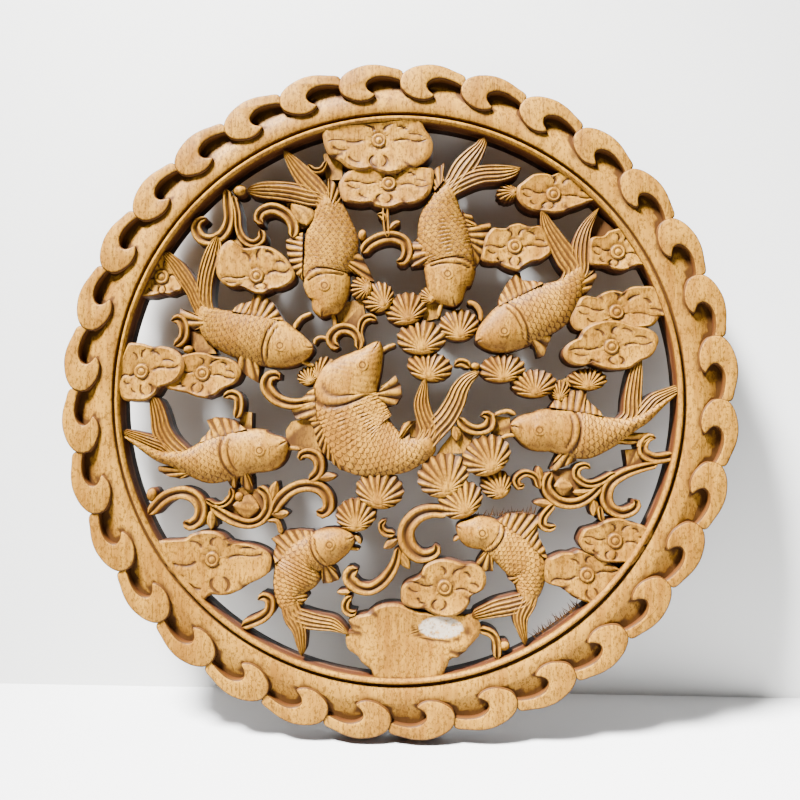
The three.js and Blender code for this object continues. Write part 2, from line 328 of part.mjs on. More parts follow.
// Wave crest: turn from its notch as a share of the crest's pitch, and reach in from the rim
// as a share of the crest's reach. The first points run along the rim.
const CREST = [
  [0.05, 0.52], [0.2, 0.14], [0.5, 0], [0.82, 0.11], [1.04, 0.27],
  [0.72, 0.31], [0.49, 0.42], [0.61, 0.84], [0.42, 1], [0.14, 0.84],
];

const FLAT = 1e-4;
const PATH_TOLERANCE = 0.8;

const front = (drop) => PANEL_THICKNESS - drop;

// A closed solid from points [right, up, height over the back] and triangles
function solid(points, faces) {
  const place = points.flatMap(([x, z, h]) => [x, -h, z + CENTRE_UP]);
  const mesh = new wasm.Mesh({
    numProp: 3,
    vertProperties: Float32Array.from(place),
    triVerts: Uint32Array.from(faces.flat()),
  });
  return new wasm.Manifold(mesh);
}

// A flat-backed plate: an outline of points [right, up, height], with upright walls
function plate(outline) {
  const turn = THREE.ShapeUtils.area(outline.map(([x, z]) => new THREE.Vector2(x, z)));
  const edge = turn < 0 ? [...outline].reverse() : outline;
  const count = edge.length;
  const points = [...edge, ...edge.map(([x, z]) => [x, z, 0])];
  const lid = THREE.ShapeUtils.triangulateShape(edge.map(([x, z]) => new THREE.Vector2(x, z)), []);
  const faces = lid.flatMap(([a, b, c]) => [[a, b, c], [c + count, b + count, a + count]]);
  for (let i = 0; i < count; i += 1) {
    const next = (i + 1) % count;
    faces.push([i + count, next + count, next], [i + count, next, i]);
  }
  return solid(points, faces);
}

// A flat-based mound: an outline of points [right, up, height] round a middle point
function mound(middle, outline, foot = 0) {
  const count = outline.length;
  const base = outline.map(([x, z]) => [x, z, foot]);
  const points = [...outline, ...base, middle, [middle[0], middle[1], foot]];
  const faces = [];
  for (let i = 0; i < count; i += 1) {
    const next = (i + 1) % count;
    faces.push([i + count, next + count, next], [i + count, next, i]);
    faces.push([2 * count, i, next], [2 * count + 1, next + count, i + count]);
  }
  return solid(points, faces);
}

// The path without the points that lie close to the line between their neighbours
function thinned(path) {
  const [start, end] = [path[0], path.at(-1)].map((p) => new THREE.Vector3(...p));
  const line = new THREE.Line3(start, end);
  const gaps = path.map((p) => {
    const point = new THREE.Vector3(...p);
    return point.distanceTo(line.closestPointToPoint(point, true, new THREE.Vector3()));
  });
  const widest = Math.max(...gaps);
  if (widest < PATH_TOLERANCE) return [path[0], path.at(-1)];
  const at = gaps.indexOf(widest);
  return [...thinned(path.slice(0, at + 1)), ...thinned(path.slice(at)).slice(1)];
}

// A flat-backed ribbon along a path [right, up, half width] in drawing units.
// section(share) gives the top from the left edge to the right as [share of half width, height].
function ribbon(drawn, section) {
  const path = thinned(drawn);
  const rings = path.map(([u, v, half], i) => {
    const [u0, v0] = path[Math.max(i - 1, 0)];
    const [u1, v1] = path[Math.min(i + 1, path.length - 1)];
    const length = Math.hypot(u1 - u0, v1 - v0);
    const across = [(v1 - v0) / length, (u0 - u1) / length];
    const top = section(i / (path.length - 1));
    const at = (share, height) => [
      (u + across[0] * half * share) * UNIT,
      (v + across[1] * half * share) * UNIT,
      height,
    ];
    return [at(-1, 0), ...top.map(([share, height]) => at(share, height)), at(1, 0)];
  });
  const size = rings[0].length;
  const faces = [];
  for (let i = 0; i + 1 < rings.length; i += 1) {
    for (let j = 0; j < size; j += 1) {
      const a = i * size + j;
      const b = i * size + (j + 1) % size;
      faces.push([a, b, b + size], [a, b + size, a + size]);
    }
  }
  const last = (rings.length - 1) * size;
  for (let j = 1; j + 1 < size; j += 1) {
    faces.push([0, j + 1, j], [last, last + j, last + j + 1]);
  }
  return solid(rings.flat(), faces);
}

// Points round an ellipse, anticlockwise, as [right, up, height]
function oval([u, v], halfWidth, halfHeight, height, sides) {
  return Array.from({ length: sides }, (_, i) => {
    const angle = 2 * Math.PI * i / sides;
    return [u * UNIT + halfWidth * Math.cos(angle), v * UNIT + halfHeight * Math.sin(angle), height];
  });
}

// Border ring: bead, groove, flat band and the floor that slopes down under the crests
function borderRing() {
  const notch = OUTER_RADIUS - CREST_DEPTH;
  const groove = FIELD_RADIUS + BEAD_WIDTH;
  const band = groove + GROOVE_WIDTH;
  const profile = [
    [FIELD_RADIUS, 0],
    [FIELD_RADIUS, front(BEAD_SHOULDER_DROP)],
    [FIELD_RADIUS + BEAD_WIDTH / 2, front(BEAD_DROP)],
    [groove, front(GROOVE_DROP)],
    [band, front(BAND_DROP)],
    [notch - HOLLOW_WIDTH, front(BAND_DROP)],
    [notch, front(HOLLOW_DROP)],
    [notch, 0],
  ];
  const points = [];
  const faces = [];
  const size = profile.length;
  for (let i = 0; i < BORDER_SIDES; i += 1) {
    const angle = 2 * Math.PI * i / BORDER_SIDES;
    points.push(...profile.map(([r, h]) => [r * Math.cos(angle), r * Math.sin(angle), h]));
    const next = (i + 1) % BORDER_SIDES;
    for (let j = 0; j < size; j += 1) {
      const k = (j + 1) % size;
      faces.push([i * size + j, i * size + k, next * size + k], [i * size + j, next * size + k, next * size + j]);
    }
  }
  return solid(points, faces);
}

// One comma-shaped wave crest, its round head at the notch and its tail along the rim
function waveCrest(index) {
  const pitch = 2 * Math.PI / CREST_COUNT;
  return plate(CREST.map(([turn, reach]) => {
    const angle = Math.PI / 2 - pitch * (index + turn);
    const radius = OUTER_RADIUS - CREST_REACH * reach;
    return [radius * Math.cos(angle), radius * Math.sin(angle), front(0)];
  }));
}

// Carp body: a rounded back over upright sides, lower at the nose and the tail
function carpBody({ spine, drop }) {
  return ribbon(spine, (share) => {
    const ends = share < 0.3 ? FISH_NOSE_DROP * (1 - share / 0.3) ** 2 : FISH_TAIL_DROP * ((share - 0.3) / 0.7) ** 2;
    const crown = front(drop + ends);
    const side = Math.min(front(FISH_EDGE_DROP), crown - 2);
    return [[-1, side], [-CROWN_SHARE, crown], [CROWN_SHARE, crown], [1, side]];
  });
}

const tailLobe = (path, drop) => ribbon(path, (share) => {
  const ridge = front(drop + FIN_ROOT_DROP - 1 + share);
  return [[-1, ridge - LOBE_SLANT], [1, ridge]];
});

const whisker = (path) => ribbon(path, () => [[-1, front(WHISKER_DROP)], [1, front(WHISKER_DROP)]]);

// Fin: a thin web from its root on the body out to its rim
function fin({ root: [start, end], rim }) {
  const scale = ([u, v], drop) => [u * UNIT, v * UNIT, front(drop)];
  const edge = thinned([[...start, 0], ...rim.map((p) => [...p, 0]), [...end, 0]]).slice(1, -1);
  return plate([scale(start, FIN_ROOT_DROP), ...edge.map((p) => scale(p, FIN_RIM_DROP)), scale(end, FIN_ROOT_DROP)]);
}

function carpEye({ eye, drop }) {
  const rim = oval(eye, EYE_RADIUS, EYE_RADIUS, front(drop + 2), 6);
  return mound([eye[0] * UNIT, eye[1] * UNIT, front(drop) + EYE_HEIGHT - 1], rim, INSET_BASE);
}

// The points of one leaf lobe: a shallow arc, or a round half oval where it bulges far
function lobe([u0, v0, bulge], [u1, v1]) {
  const chord = Math.hypot(u1 - u0, v1 - v0);
  const steps = Math.max(1, Math.ceil((chord + 2 * bulge) / 9.5));
  const round = THREE.MathUtils.clamp((bulge / chord - 0.15) / 0.35, 0, 1);
  const out = [(v1 - v0) / chord, (u0 - u1) / chord];
  return Array.from({ length: steps }, (_, i) => {
    const share = i / steps;
    const along = THREE.MathUtils.lerp(share, (1 - Math.cos(Math.PI * share)) / 2, round);
    const lift = bulge * Math.sin(Math.PI * share);
    return [u0 + (u1 - u0) * along + out[0] * lift, v0 + (v1 - v0) * along + out[1] * lift];
  });
}

// Lotus leaf: lobed edge, a slightly dished face and a round boss
function leaf({ boss, drop, notches }) {
  const edge = notches.flatMap((notch, i) => lobe(notch, notches[(i + 1) % notches.length]));
  const outline = edge.map(([u, v]) => [u * UNIT, v * UNIT, front(drop)]);
  const [x, z] = [boss[0] * UNIT, boss[1] * UNIT];
  const dish = mound([x, z, front(drop + LEAF_DISH)], outline);
  const seat = front(drop + LEAF_DISH);
  const knob = mound([x, z, seat + BOSS_HEIGHT], oval(boss, BOSS_RADIUS, BOSS_RADIUS, seat, 6), INSET_BASE);
  return dish.add(knob);
}

// Ribbed fan: flutes spread from a raised foot near its lower edge to a scalloped rim
function fan([u, v, halfWidth, halfHeight, degrees]) {
  const turn = THREE.MathUtils.degToRad(degrees);
  const place = (a, b, height) => [
    (u + a * Math.cos(turn) - b * Math.sin(turn)) * UNIT,
    (v + a * Math.sin(turn) + b * Math.cos(turn)) * UNIT,
    height,
  ];
  const steps = 2 * FLUTE_COUNT;
  const rim = Array.from({ length: steps + 1 }, (_, i) => {
    const angle = Math.PI * (-0.22 + 1.44 * i / steps);
    const groove = i % 2;
    const reach = 1 - 0.06 * groove;
    return place(
      halfWidth * reach * Math.cos(angle),
      halfHeight * reach * Math.sin(angle),
      front(FAN_DROP + FAN_FALL * 0.5 + FLUTE_DEPTH * groove),
    );
  });
  rim.push(place(0, -halfHeight, front(FAN_DROP + FAN_FALL)));
  return mound(place(0, -halfHeight * 0.35, front(FAN_DROP)), rim);
}

const scroll = (path) => ribbon(path, () => [[-1, front(SCROLL_DROP + SCROLL_SLANT)], [1, front(SCROLL_DROP)]]);

const petal = ([u0, v0, u1, v1, half]) => ribbon(
  [[u0, v0, half * 0.5], [u0 * 0.5 + u1 * 0.5, v0 * 0.5 + v1 * 0.5, half], [u1, v1, half * 0.15]],
  () => [[-1, front(PETAL_DROP + PETAL_FALL)], [0, front(PETAL_DROP)], [1, front(PETAL_DROP + PETAL_FALL)]],
);

const bud = ([u, v, halfWidth, halfHeight]) => mound(
  [u * UNIT, v * UNIT, front(BUD_DROP)],
  oval([u, v], halfWidth * UNIT, halfHeight * UNIT, front(BUD_DROP + BUD_FALL), 8),
);

const ground = (outline) => plate(outline.map(([u, v]) => [u * UNIT, v * UNIT, front(GROUND_DROP)]));

function carvedPanel() {
  const crests = Array.from({ length: CREST_COUNT }, (_, i) => waveCrest(i));
  const carp = CARP.flatMap((fish) => [
    carpBody(fish),
    carpEye(fish),
    ...fish.lobes.map((path) => tailLobe(path, fish.drop)),
    ...fish.fins.map(fin),
    ...fish.whiskers.map(whisker),
  ]);
  const pieces = [
    ...crests, ...GROUNDS.map(ground), ...LEAVES.map(leaf), ...FANS.map(fan),
    ...SCROLLS.map(scroll), ...PETALS.map(petal), ...BUDS.map(bud), ...carp,
  ];
  return pieces.reduce((whole, piece) => whole.add(piece), borderRing());
}

// The flat back as one face: its outlines are the edges where the upright sides meet it
function backFace(vertices, sides) {
  const place = (i) => new THREE.Vector2(vertices[3 * i], vertices[3 * i + 2]);
  const lies = (i) => Math.abs(vertices[3 * i + 1]) < FLAT;
  const next = new Map();
  for (const [a, b, c] of sides) {
    for (const [from, to] of [[a, b], [b, c], [c, a]]) {
      if (lies(from) && lies(to)) next.set(to, from);
    }
  }
  const loops = [];
  while (next.size > 0) {
    const loop = [];
    let at = next.keys().next().value;
    while (next.has(at)) {
      const after = next.get(at);
      next.delete(at);
      loop.push(at);
      at = after;
    }
    loops.push(loop);
  }
  const sized = loops.map((loop) => ({ loop, area: Math.abs(THREE.ShapeUtils.area(loop.map(place))) }));
  const [rim, ...openings] = sized.sort((a, b) => b.area - a.area).map(({ loop }) => loop);
  const corners = [rim, ...openings].flat();
  const faces = THREE.ShapeUtils.triangulateShape(rim.map(place), openings.map((loop) => loop.map(place)));
  return faces.map((face) => face.map((i) => corners[i]).reverse());
}

function geometryOf(body) {
  const { vertProperties, triVerts } = body.getMesh();
  const lies = (i) => Math.abs(vertProperties[3 * i + 1]) < FLAT;
  const sides = [];
  for (let i = 0; i < triVerts.length; i += 3) {
    const face = [triVerts[i], triVerts[i + 1], triVerts[i + 2]];
    if (!face.every(lies)) sides.push(face);
  }
  const index = [...sides, ...backFace(vertProperties, sides)].flat();
  const geometry = new THREE.BufferGeometry();
  geometry.setAttribute('position', new THREE.BufferAttribute(Float32Array.from(vertProperties), 3));
  geometry.setIndex(new THREE.BufferAttribute(Uint32Array.from(index), 1));
  geometry.computeVertexNormals();
  return geometry;
}

const wood = new THREE.MeshStandardMaterial({ color: 0xc9a06a, roughness: 0.6, metalness: 0 });
const panel = new THREE.Mesh(geometryOf(carvedPanel()), wood);
panel.name = 'carved_panel';

const group = new THREE.Group();
group.add(panel);

export default group;
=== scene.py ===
"""Looks of a round openwork wall panel carved from pale wood.

Nine carp swim among lotus leaves, ribbed fans and curling weed, inside a border of
wave crests. Every motif is a closed flat-backed solid, and all are joined into one piece.
Drawing sizes are in millimetres, and the finished mesh is in metres.
"""

from __future__ import annotations

import json
import logging
import math
from dataclasses import dataclass, field
from enum import Enum
from typing import Callable, Sequence, Union

import bmesh
import bpy
import numpy as np
from mathutils import Euler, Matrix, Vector

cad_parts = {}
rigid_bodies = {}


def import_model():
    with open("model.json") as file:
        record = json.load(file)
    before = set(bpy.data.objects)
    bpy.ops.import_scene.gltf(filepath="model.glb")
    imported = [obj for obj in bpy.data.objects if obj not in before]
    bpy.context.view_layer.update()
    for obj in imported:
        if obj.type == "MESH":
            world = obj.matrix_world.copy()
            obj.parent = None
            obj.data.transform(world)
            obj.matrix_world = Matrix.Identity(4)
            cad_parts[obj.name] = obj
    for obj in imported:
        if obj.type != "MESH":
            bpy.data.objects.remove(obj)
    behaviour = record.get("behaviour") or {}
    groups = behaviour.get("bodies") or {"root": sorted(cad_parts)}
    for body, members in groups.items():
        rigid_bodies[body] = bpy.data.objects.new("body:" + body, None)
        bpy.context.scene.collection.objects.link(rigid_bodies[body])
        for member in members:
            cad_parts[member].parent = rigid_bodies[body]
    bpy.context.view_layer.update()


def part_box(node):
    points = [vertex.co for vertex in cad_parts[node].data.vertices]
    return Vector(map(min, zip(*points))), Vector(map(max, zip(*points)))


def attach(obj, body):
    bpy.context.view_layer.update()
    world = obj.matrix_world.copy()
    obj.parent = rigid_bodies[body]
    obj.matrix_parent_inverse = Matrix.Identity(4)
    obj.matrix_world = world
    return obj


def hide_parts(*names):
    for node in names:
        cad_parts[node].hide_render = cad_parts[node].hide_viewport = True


LOG = logging.getLogger("carved_panel")
MM = 0.001
CREST_COUNT = 32
SCALE_ROUND = 0.52  # share of a scale's width over which its free edge is round
SCALE_PITCH = 0.74  # distance between rows of scales, in scales
SCALE_WIDTH = 1.18  # distance between scales in a row, in scales
ROWS_PER_SCALE = 3
BODY_STEP = 2.0  # millimetres between points across a carp
LOBE_STEP, WEED_STEP, CREST_STEP, BARBEL_STEP, FIN_STEP, PETAL_STEP = 2.6, 2.4, 1.8, 1.6, 1.2, 1.2
LEAF_SIDES, LEAF_RINGS, FAN_SIDES, FAN_RINGS, CIRCLE_SIDES = 72, 11, 60, 8, 18
RIM_SHADE = 0.42  # painted shade along the rim of every sawn wall
DRAWN_REACH = 250.4  # radius over the drawn crest, in millimetres
SHARP_EDGE = math.radians(38)
Path = Sequence[Sequence[float]]
Rows = np.ndarray
Colour = tuple[float, float, float]
Socket = bpy.types.NodeSocket
Feed = Union[Socket, float, Colour]


class Level(Enum):
    """Heights over the flat back, in millimetres, that the carver worked to."""

    CREST = 23.9
    BAND = 21.2
    BEAD = 22.9
    GROOVE = 18.4
    CARP = 24.0
    FIN_ROOT = 19.0
    FIN_RIM = 16.2
    LOBE = 18.8
    FAN = 19.2
    SCROLL = 18.8
    PETAL = 18.0
    BUD = 19.0
    BARBEL = 15.5
    GROUND = 14.2


@dataclass(frozen=True)
class Board:
    """The turned board that the panel is cut from, read off the frame.

    Args:
        outer: Radius over the wave crests, in millimetres.
        thickness: Depth from the flat back to the highest carving.
        centre_up: Height of the centre in the frame.
    """

    outer: float
    thickness: float
    centre_up: float

    @property
    def field(self) -> float:
        """Radius of the openwork field."""
        return self.outer * 0.824

    @property
    def unit(self) -> float:
        """One drawing unit: a hundredth of the field's radius."""
        return self.field / 100

    @classmethod
    def from_box(cls, low: Vector, high: Vector) -> "Board":
        """Reads the board from the frame's box, whose sides touch the crests beside the axes.

        Args:
            low: Lowest corner in metres.
            high: Highest corner in metres.

        Returns:
            The board.
        """
        apex = math.cos(math.pi / CREST_COUNT)
        outer = (high.x - low.x) / 2 / apex / MM
        return cls(outer, (high.y - low.y) / MM, (high.z + low.z) / 2 / MM)


@dataclass
class Shell:
    """A closed solid: points (right, up, height), faces, how much shade is painted in its cuts, and pattern
    coordinates.
    """

    points: np.ndarray
    faces: list[tuple[int, ...]]
    cut: np.ndarray
    marks: np.ndarray


def bump(gap: np.ndarray, width: float) -> np.ndarray:
    """A smooth bell of height one where gap is nought."""
    return np.exp(-((gap / width) ** 2))


def smooth(path: Path, spacing: float) -> np.ndarray:
    """A rounded line through the points of a path, sampled evenly.

    Args:
        path: Points, with any number of columns.
        spacing: Distance between samples, in the path's units.

    Returns:
        The samples, as rows.
    """
    knots = np.array(path, float)
    ends = np.vstack([2 * knots[0] - knots[1], knots, 2 * knots[-1] - knots[-2]])
    pieces = []
    for before, here, there, after in zip(ends, ends[1:], ends[2:], ends[3:]):
        t = np.linspace(0, 1, 12, endpoint=False)[:, None]
        pieces.append(
            0.5 * (2 * here + (there - before) * t
                   + (2 * before - 5 * here + 4 * there - after) * t**2
                   + (3 * here - before - 3 * there + after) * t**3)
        )
    return even(np.vstack([*pieces, knots[-1:]]), spacing)


def even(line: np.ndarray, spacing: float, least: int = 4) -> np.ndarray:
    """The line again, with its samples an even distance apart.

    Args:
        line: Points as rows, whose first two columns are places.
        spacing: Distance between samples.
        least: Fewest samples.

    Returns:
        The new samples.
    """
    steps = np.hypot(*np.diff(line[:, :2], axis=0).T)
    along = np.concatenate([[0], np.cumsum(steps)])
    wanted = np.linspace(0, along[-1], max(least, int(round(along[-1] / spacing)) + 1))
    return np.stack([np.interp(wanted, along, column) for column in line.T], axis=1)


def walled(top: np.ndarray, cut: np.ndarray, faces: list[tuple[int, ...]], loop: list[int],
           marks: np.ndarray | None = None) -> Shell:
    """Closes a carved top with upright walls and a flat back.

    Args:
        top: Points of the top.
        cut: How much shade is painted on each, in the cuts.
        faces: Faces of the top.
        loop: Points round its edge, in order.
        marks: Pattern coordinates of each, if it has any.

    Returns:
        The closed solid.
    """
    count = len(top)
    cut = cut.astype(float)
    # painted shade along the rim, where the top turns down into the wall
    cut[loop] = np.maximum(cut[loop], cut[loop] + RIM_SHADE)
    edge = top[loop].copy()
    edge[:, 2] = 0
    back = list(range(count, count + len(loop)))
    turned = back[1:] + back[:1]
    after = loop[1:] + loop[:1]
    walls = [(a, b, d, c) for a, b, c, d in zip(loop, after, back, turned)]
    points = np.vstack([top, edge])
    mask = np.concatenate([cut, np.zeros(len(loop))])
    marks = np.zeros((count, 3)) if marks is None else marks
    faces = [*faces, *walls, tuple(reversed(back))]
    return Shell(points, faces, mask, np.vstack([marks, marks[loop]]))


def patch(grid: np.ndarray, cut: np.ndarray, marks: np.ndarray | None = None) -> Shell:
    """A solid whose top is a four-sided sheet.

    Args:
        grid: Points as rows and columns.
        cut: How much shade is painted on each, in the cuts.
        marks: Pattern coordinates of each, if it has any.

    Returns:
        The closed solid.
    """
    rows, columns, _ = grid.shape
    at = np.arange(rows * columns).reshape(rows, columns)
    faces = list(zip(at[:-1, :-1].flat, at[:-1, 1:].flat, at[1:, 1:].flat, at[1:, :-1].flat))
    loop = [*at[0, :-1], *at[:-1, -1], *at[-1, :0:-1], *at[:0:-1, 0]]
    marks = None if marks is None else marks.reshape(-1, 3)
    return walled(grid.reshape(-1, 3), cut.reshape(-1), faces, [int(i) for i in loop], marks)


def disc(centre: np.ndarray, rings: np.ndarray, cut: np.ndarray, marks: np.ndarray | None = None) -> Shell:
    """A solid whose top is rings of points round a middle one.

    Args:
        centre: The middle point.
        rings: Points as rings from the inside out.
        cut: How much shade is painted on each ring point, in the cuts.
        marks: Pattern coordinates of each, if it has any.

    Returns:
        The closed solid.
    """
    count, sides, _ = rings.shape
    at = np.arange(count * sides).reshape(count, sides)
    after = np.roll(at, -1, axis=1)
    middle = count * sides
    faces = [(middle, int(a), int(b)) for a, b in zip(at[0], after[0])]
    faces += list(zip(at[:-1].flat, at[1:].flat, after[1:].flat, after[:-1].flat))
    top = np.vstack([rings.reshape(-1, 3), centre[None]])
    mask = np.append(cut.reshape(-1), 0.0)
    if marks is not None:
        marks = np.vstack([marks.reshape(-1, 3), [[0, 0, marks[0, 0, 2]]]])
    return walled(top, mask, faces, [int(i) for i in at[-1]], marks)


def scale_edge(side: np.ndarray) -> np.ndarray:
    """How far a scale reaches toward the tail, over the share of its width."""
    return np.sqrt(np.clip(1 - (side / SCALE_ROUND) ** 2, 0, 1))


Relief = Callable[[Rows, Rows, Rows, Rows, Rows], tuple[Rows, ...]]


@dataclass(frozen=True)
class Knife:
    """Turns drawn lines into carved solids on one board."""

    board: Board

    def ribbon(self, path: Path, relief: Relief, columns: int, spacing: float, tips: str = "both") -> Shell:
        """Carves a strip of changing width along a line.

        Args:
            path: (right, up, half width) in drawing units.
            relief: Gives height, cut and marks from the shares along and across, the places,
                the run in millimetres and the half width.
            columns: Points across.
            spacing: Millimetres between rows.
            tips: Which ends are rounded: both, start, end or none.

        Returns:
            The closed solid.
        """
        line = smooth([[c * self.board.unit for c in p] for p in path], spacing)
        run = np.concatenate([[0], np.cumsum(np.hypot(*np.diff(line[:, :2], axis=0).T))])
        half = np.maximum(line[:, 2], 0.35)
        for name, gap in (("start", run), ("end", run[-1] - run)):
            if tips in (name, "both"):
                reach = np.clip(gap / half, 0, 1)
                half = half * np.sqrt(np.clip(1 - (1 - reach) ** 2, 0.06, 1))
        way = np.gradient(line[:, :2], axis=0)
        way /= np.linalg.norm(way, axis=1, keepdims=True)
        across = np.stack([way[:, 1], -way[:, 0]], axis=1)
        t = np.linspace(-1, 1, columns)
        place = line[:, None, :2] + across[:, None] * (half[:, None] * t)[..., None]
        s = np.broadcast_to((run / run[-1])[:, None], place.shape[:2])
        height, cut, *marks = relief(s, np.broadcast_to(t, s.shape), place, run[:, None], half[:, None])
        return patch(np.dstack([place, height]), cut, *marks)

    def web(self, root: Path, rim: Path, rays: int, high: float, low: float) -> Shell:
        """Carves a fin: a sheet from a straight root to a ragged rim, with cut rays.

        Args:
            root: The two ends of the root, in drawing units.
            rim: Points along the rim.
            rays: How many rays it has.
            high: Height at the root.
            low: Height at the rim.

        Returns:
            The closed solid.
        """
        unit = self.board.unit
        edge = even(np.array([root[0], *rim, root[1]], float) * unit, FIN_STEP, 24)
        count = len(edge)
        q = np.linspace(0, 1, count)
        base = np.array(root[0]) * unit + np.outer(q, np.subtract(root[1], root[0])) * unit
        d = np.linspace(0, 1, 7)
        place = base[:, None] * (1 - d)[:, None] + edge[:, None] * d[:, None]
        ray = 0.5 - 0.5 * np.cos(2 * math.pi * rays * q)[:, None]
        groove = (1 - ray) ** 2 * np.sin(math.pi * np.clip(q, 0.02, 0.98))[:, None] ** 0.25
        height = high + (low - high) * d**1.2 - 1.5 * groove * np.sqrt(d) + 0.5 * ray
        # painted shade in the grooves between the rays
        cut = groove * (0.5 + 0.5 * d)
        return patch(np.dstack([place, height]), np.clip(cut, 0, 1))

    def place(self, u: float, v: float) -> np.ndarray:
        """A drawing point in millimetres."""
        return np.array([u, v]) * self.board.unit

    def circles(self, middle: tuple[float, float], reach: np.ndarray) -> np.ndarray:
        """Places on circles round a drawing point.

        Args:
            middle: The point.
            reach: Radii as a column, in drawing units.

        Returns:
            Rings of places in millimetres.
        """
        spread = np.linspace(0, 2 * math.pi, CIRCLE_SIDES, endpoint=False)
        way = np.stack([np.cos(spread), np.sin(spread)], axis=1)
        return self.place(*middle) + way * (reach * self.board.unit)[..., None]


@dataclass(frozen=True)
class Carp:
    """One carp: body, tail, fins, barbels and eye, in drawing units."""

    spine: Path
    lobes: Sequence[Path]
    webs: Sequence[tuple[Path, Path]]
    barbels: Sequence[Path]
    eye: tuple[float, float]
    scale: float = 1.95
    sunk: float = 0.0

    def shells(self, knife: Knife) -> list[Shell]:
        """Carves the whole fish.

        Args:
            knife: Carves its lines.

        Returns:
            Its solids.
        """
        top = Level.CARP.value - self.sunk
        unit = knife.board.unit
        eye = knife.place(*self.eye)

        def body(s: Rows, t: Rows, place: Rows, run: Rows, half: Rows) -> tuple[Rows, ...]:
            """A round back with scales, and a smooth head with its gill and mouth."""
            round_top = np.sqrt(1 - 0.9 * t**2)
            nose, tail = np.clip(1 - s / 0.22, 0, 1), np.clip((s - 0.35) / 0.65, 0, 1)
            crown = top - 3.4 * nose**2 - 5.2 * tail**1.5
            side = np.minimum(14.2 + 0 * s, crown - 2.5)
            height = side + (crown - side) * round_top**1.15
            gill = 0.29 + 0.1 * np.sqrt(1 - 0.92 * t**2)
            scaled = np.clip((s - gill - 0.008) / 0.02, 0, 1) * np.clip((0.97 - s) / 0.06, 0, 1)
            along = run / (self.scale * unit * SCALE_PITCH)
            across = t * half / (self.scale * unit * SCALE_WIDTH)
            tilt, seam = self.scales(along, across)
            height = height + scaled * (0.6 * tilt - 0.25 - 0.25 * seam)
            lid = bump(s - gill, 0.008) + 0.7 * bump(s - gill + 0.045, 0.007) * (np.abs(t) < 0.75)
            height = height - 1.5 * lid + 0.6 * bump(s - gill + 0.022, 0.016)
            gape = bump(t * half - 0.5, 0.55) * np.clip(1 - s / 0.085, 0, 1)
            tool = 0.5 + 0.5 * np.sin(t * 21 + 9 * s) * np.sin(s * 210 + t * 5)
            smooth_head = np.clip((gill - 0.05 - s) / 0.03, 0, 1)
            gap = np.hypot(*(place - eye).transpose(2, 0, 1)) / unit
            near = np.clip((3.2 - gap) / 0.8, 0, 1)
            height = height - 0.45 * tool * smooth_head * (1 - near) - 1.4 * gape
            # painted shade in the scale seams, the gill lines, the mouth and the head's tool marks
            cut = np.maximum(0.35 * scaled * seam, np.clip(lid, 0, 1))
            cut = np.clip(np.maximum(cut, gape) + 0.26 * tool * smooth_head * (1 - near), 0, 1)
            marks = np.dstack(np.broadcast_arrays(along + 0 * t, across, scaled))
            return np.minimum(height, top), cut, marks

        def lobe(s: Rows, t: Rows, place: Rows, run: Rows, half: Rows) -> tuple[Rows, ...]:
            """Half of a tail: long rays with grooves between them."""
            comb = 0.5 + 0.5 * np.cos(math.pi * 4.5 * t + 0.6 * s)
            ridge = Level.LOBE.value - 1.1 * t**2 + 0.9 * s
            groove = (1 - comb) ** 1.6
            fade = np.clip(s / 0.12, 0, 1)
            # the second value is painted shade in the grooves between the rays
            return ridge - 1.25 * groove * fade, groove * fade * 0.85

        def whisker(s: Rows, t: Rows, place: Rows, run: Rows, half: Rows) -> tuple[Rows, ...]:
            """A thin round barbel."""
            return Level.BARBEL.value + 1.4 * np.sqrt(1 - 0.9 * t**2) + 0 * s, 0 * s

        girth = max(p[2] for p in self.spine)
        columns = int(np.clip(round(girth * 2 * unit / BODY_STEP), 13, 27))
        step = self.scale * unit * SCALE_PITCH / ROWS_PER_SCALE
        made = [knife.ribbon(self.spine, body, columns, step)]
        made.append(self.eyeball(knife, made[0]))
        made += [knife.ribbon([self.root(path), *path], lobe, 15, LOBE_STEP, "end") for path in self.lobes]
        for root, rim in self.webs:
            reach = math.dist(rim[0], rim[-1])
            rays = max(5, round(reach / 1.9))
            made.append(knife.web(root, rim, rays, Level.FIN_ROOT.value, Level.FIN_RIM.value))
        made += [knife.ribbon(path, whisker, 5, BARBEL_STEP) for path in self.barbels]
        return made

    def eyeball(self, knife: Knife, body: Shell) -> Shell:
        """Carves the eye on the head: a raised ring round a pupil.

        Args:
            knife: Places its circles.
            body: The carved body, whose surface the eye follows.

        Returns:
            The closed solid.
        """
        reach = np.array([0.35, 0.7, 1.05, 1.4, 1.75, 2.15, 2.6])[:, None]
        place = knife.circles(self.eye, reach)
        skin = body.points[body.points[:, 2] > 0]
        near = np.exp(-((place[:, :, None] - skin[:, :2]) ** 2).sum(axis=3) / 1.6)
        level = (near @ skin[:, 2]) / near.sum(axis=2)
        rise = 0.3 + 0.85 * bump(reach - 1.7, 0.42) + bump(reach, 0.65)
        height = level + rise - np.clip((reach - 2.0) / 0.5, 0, 1)
        # painted shade in the rings round the pupil and round the eye
        cut = 0.75 * bump(reach - 1.08, 0.26) + 0.7 * bump(reach - 2.5, 0.34) + 0 * level
        middle = np.array([*knife.place(*self.eye), level[0].mean() + 1.35])
        return disc(middle, np.dstack([place, np.minimum(height, Level.CARP.value)]), cut)

    def root(self, path: Path) -> tuple[float, float, float]:
        """Where a tail lobe grows out of the body.

        Args:
            path: The lobe's own line.

        Returns:
            A point inside the body, and the half width there.
        """
        nearest = min(range(len(self.spine)), key=lambda i: math.dist(self.spine[i][:2], path[0][:2]))
        u, v, wide = self.spine[nearest - 1]
        return u, v, wide * 0.7

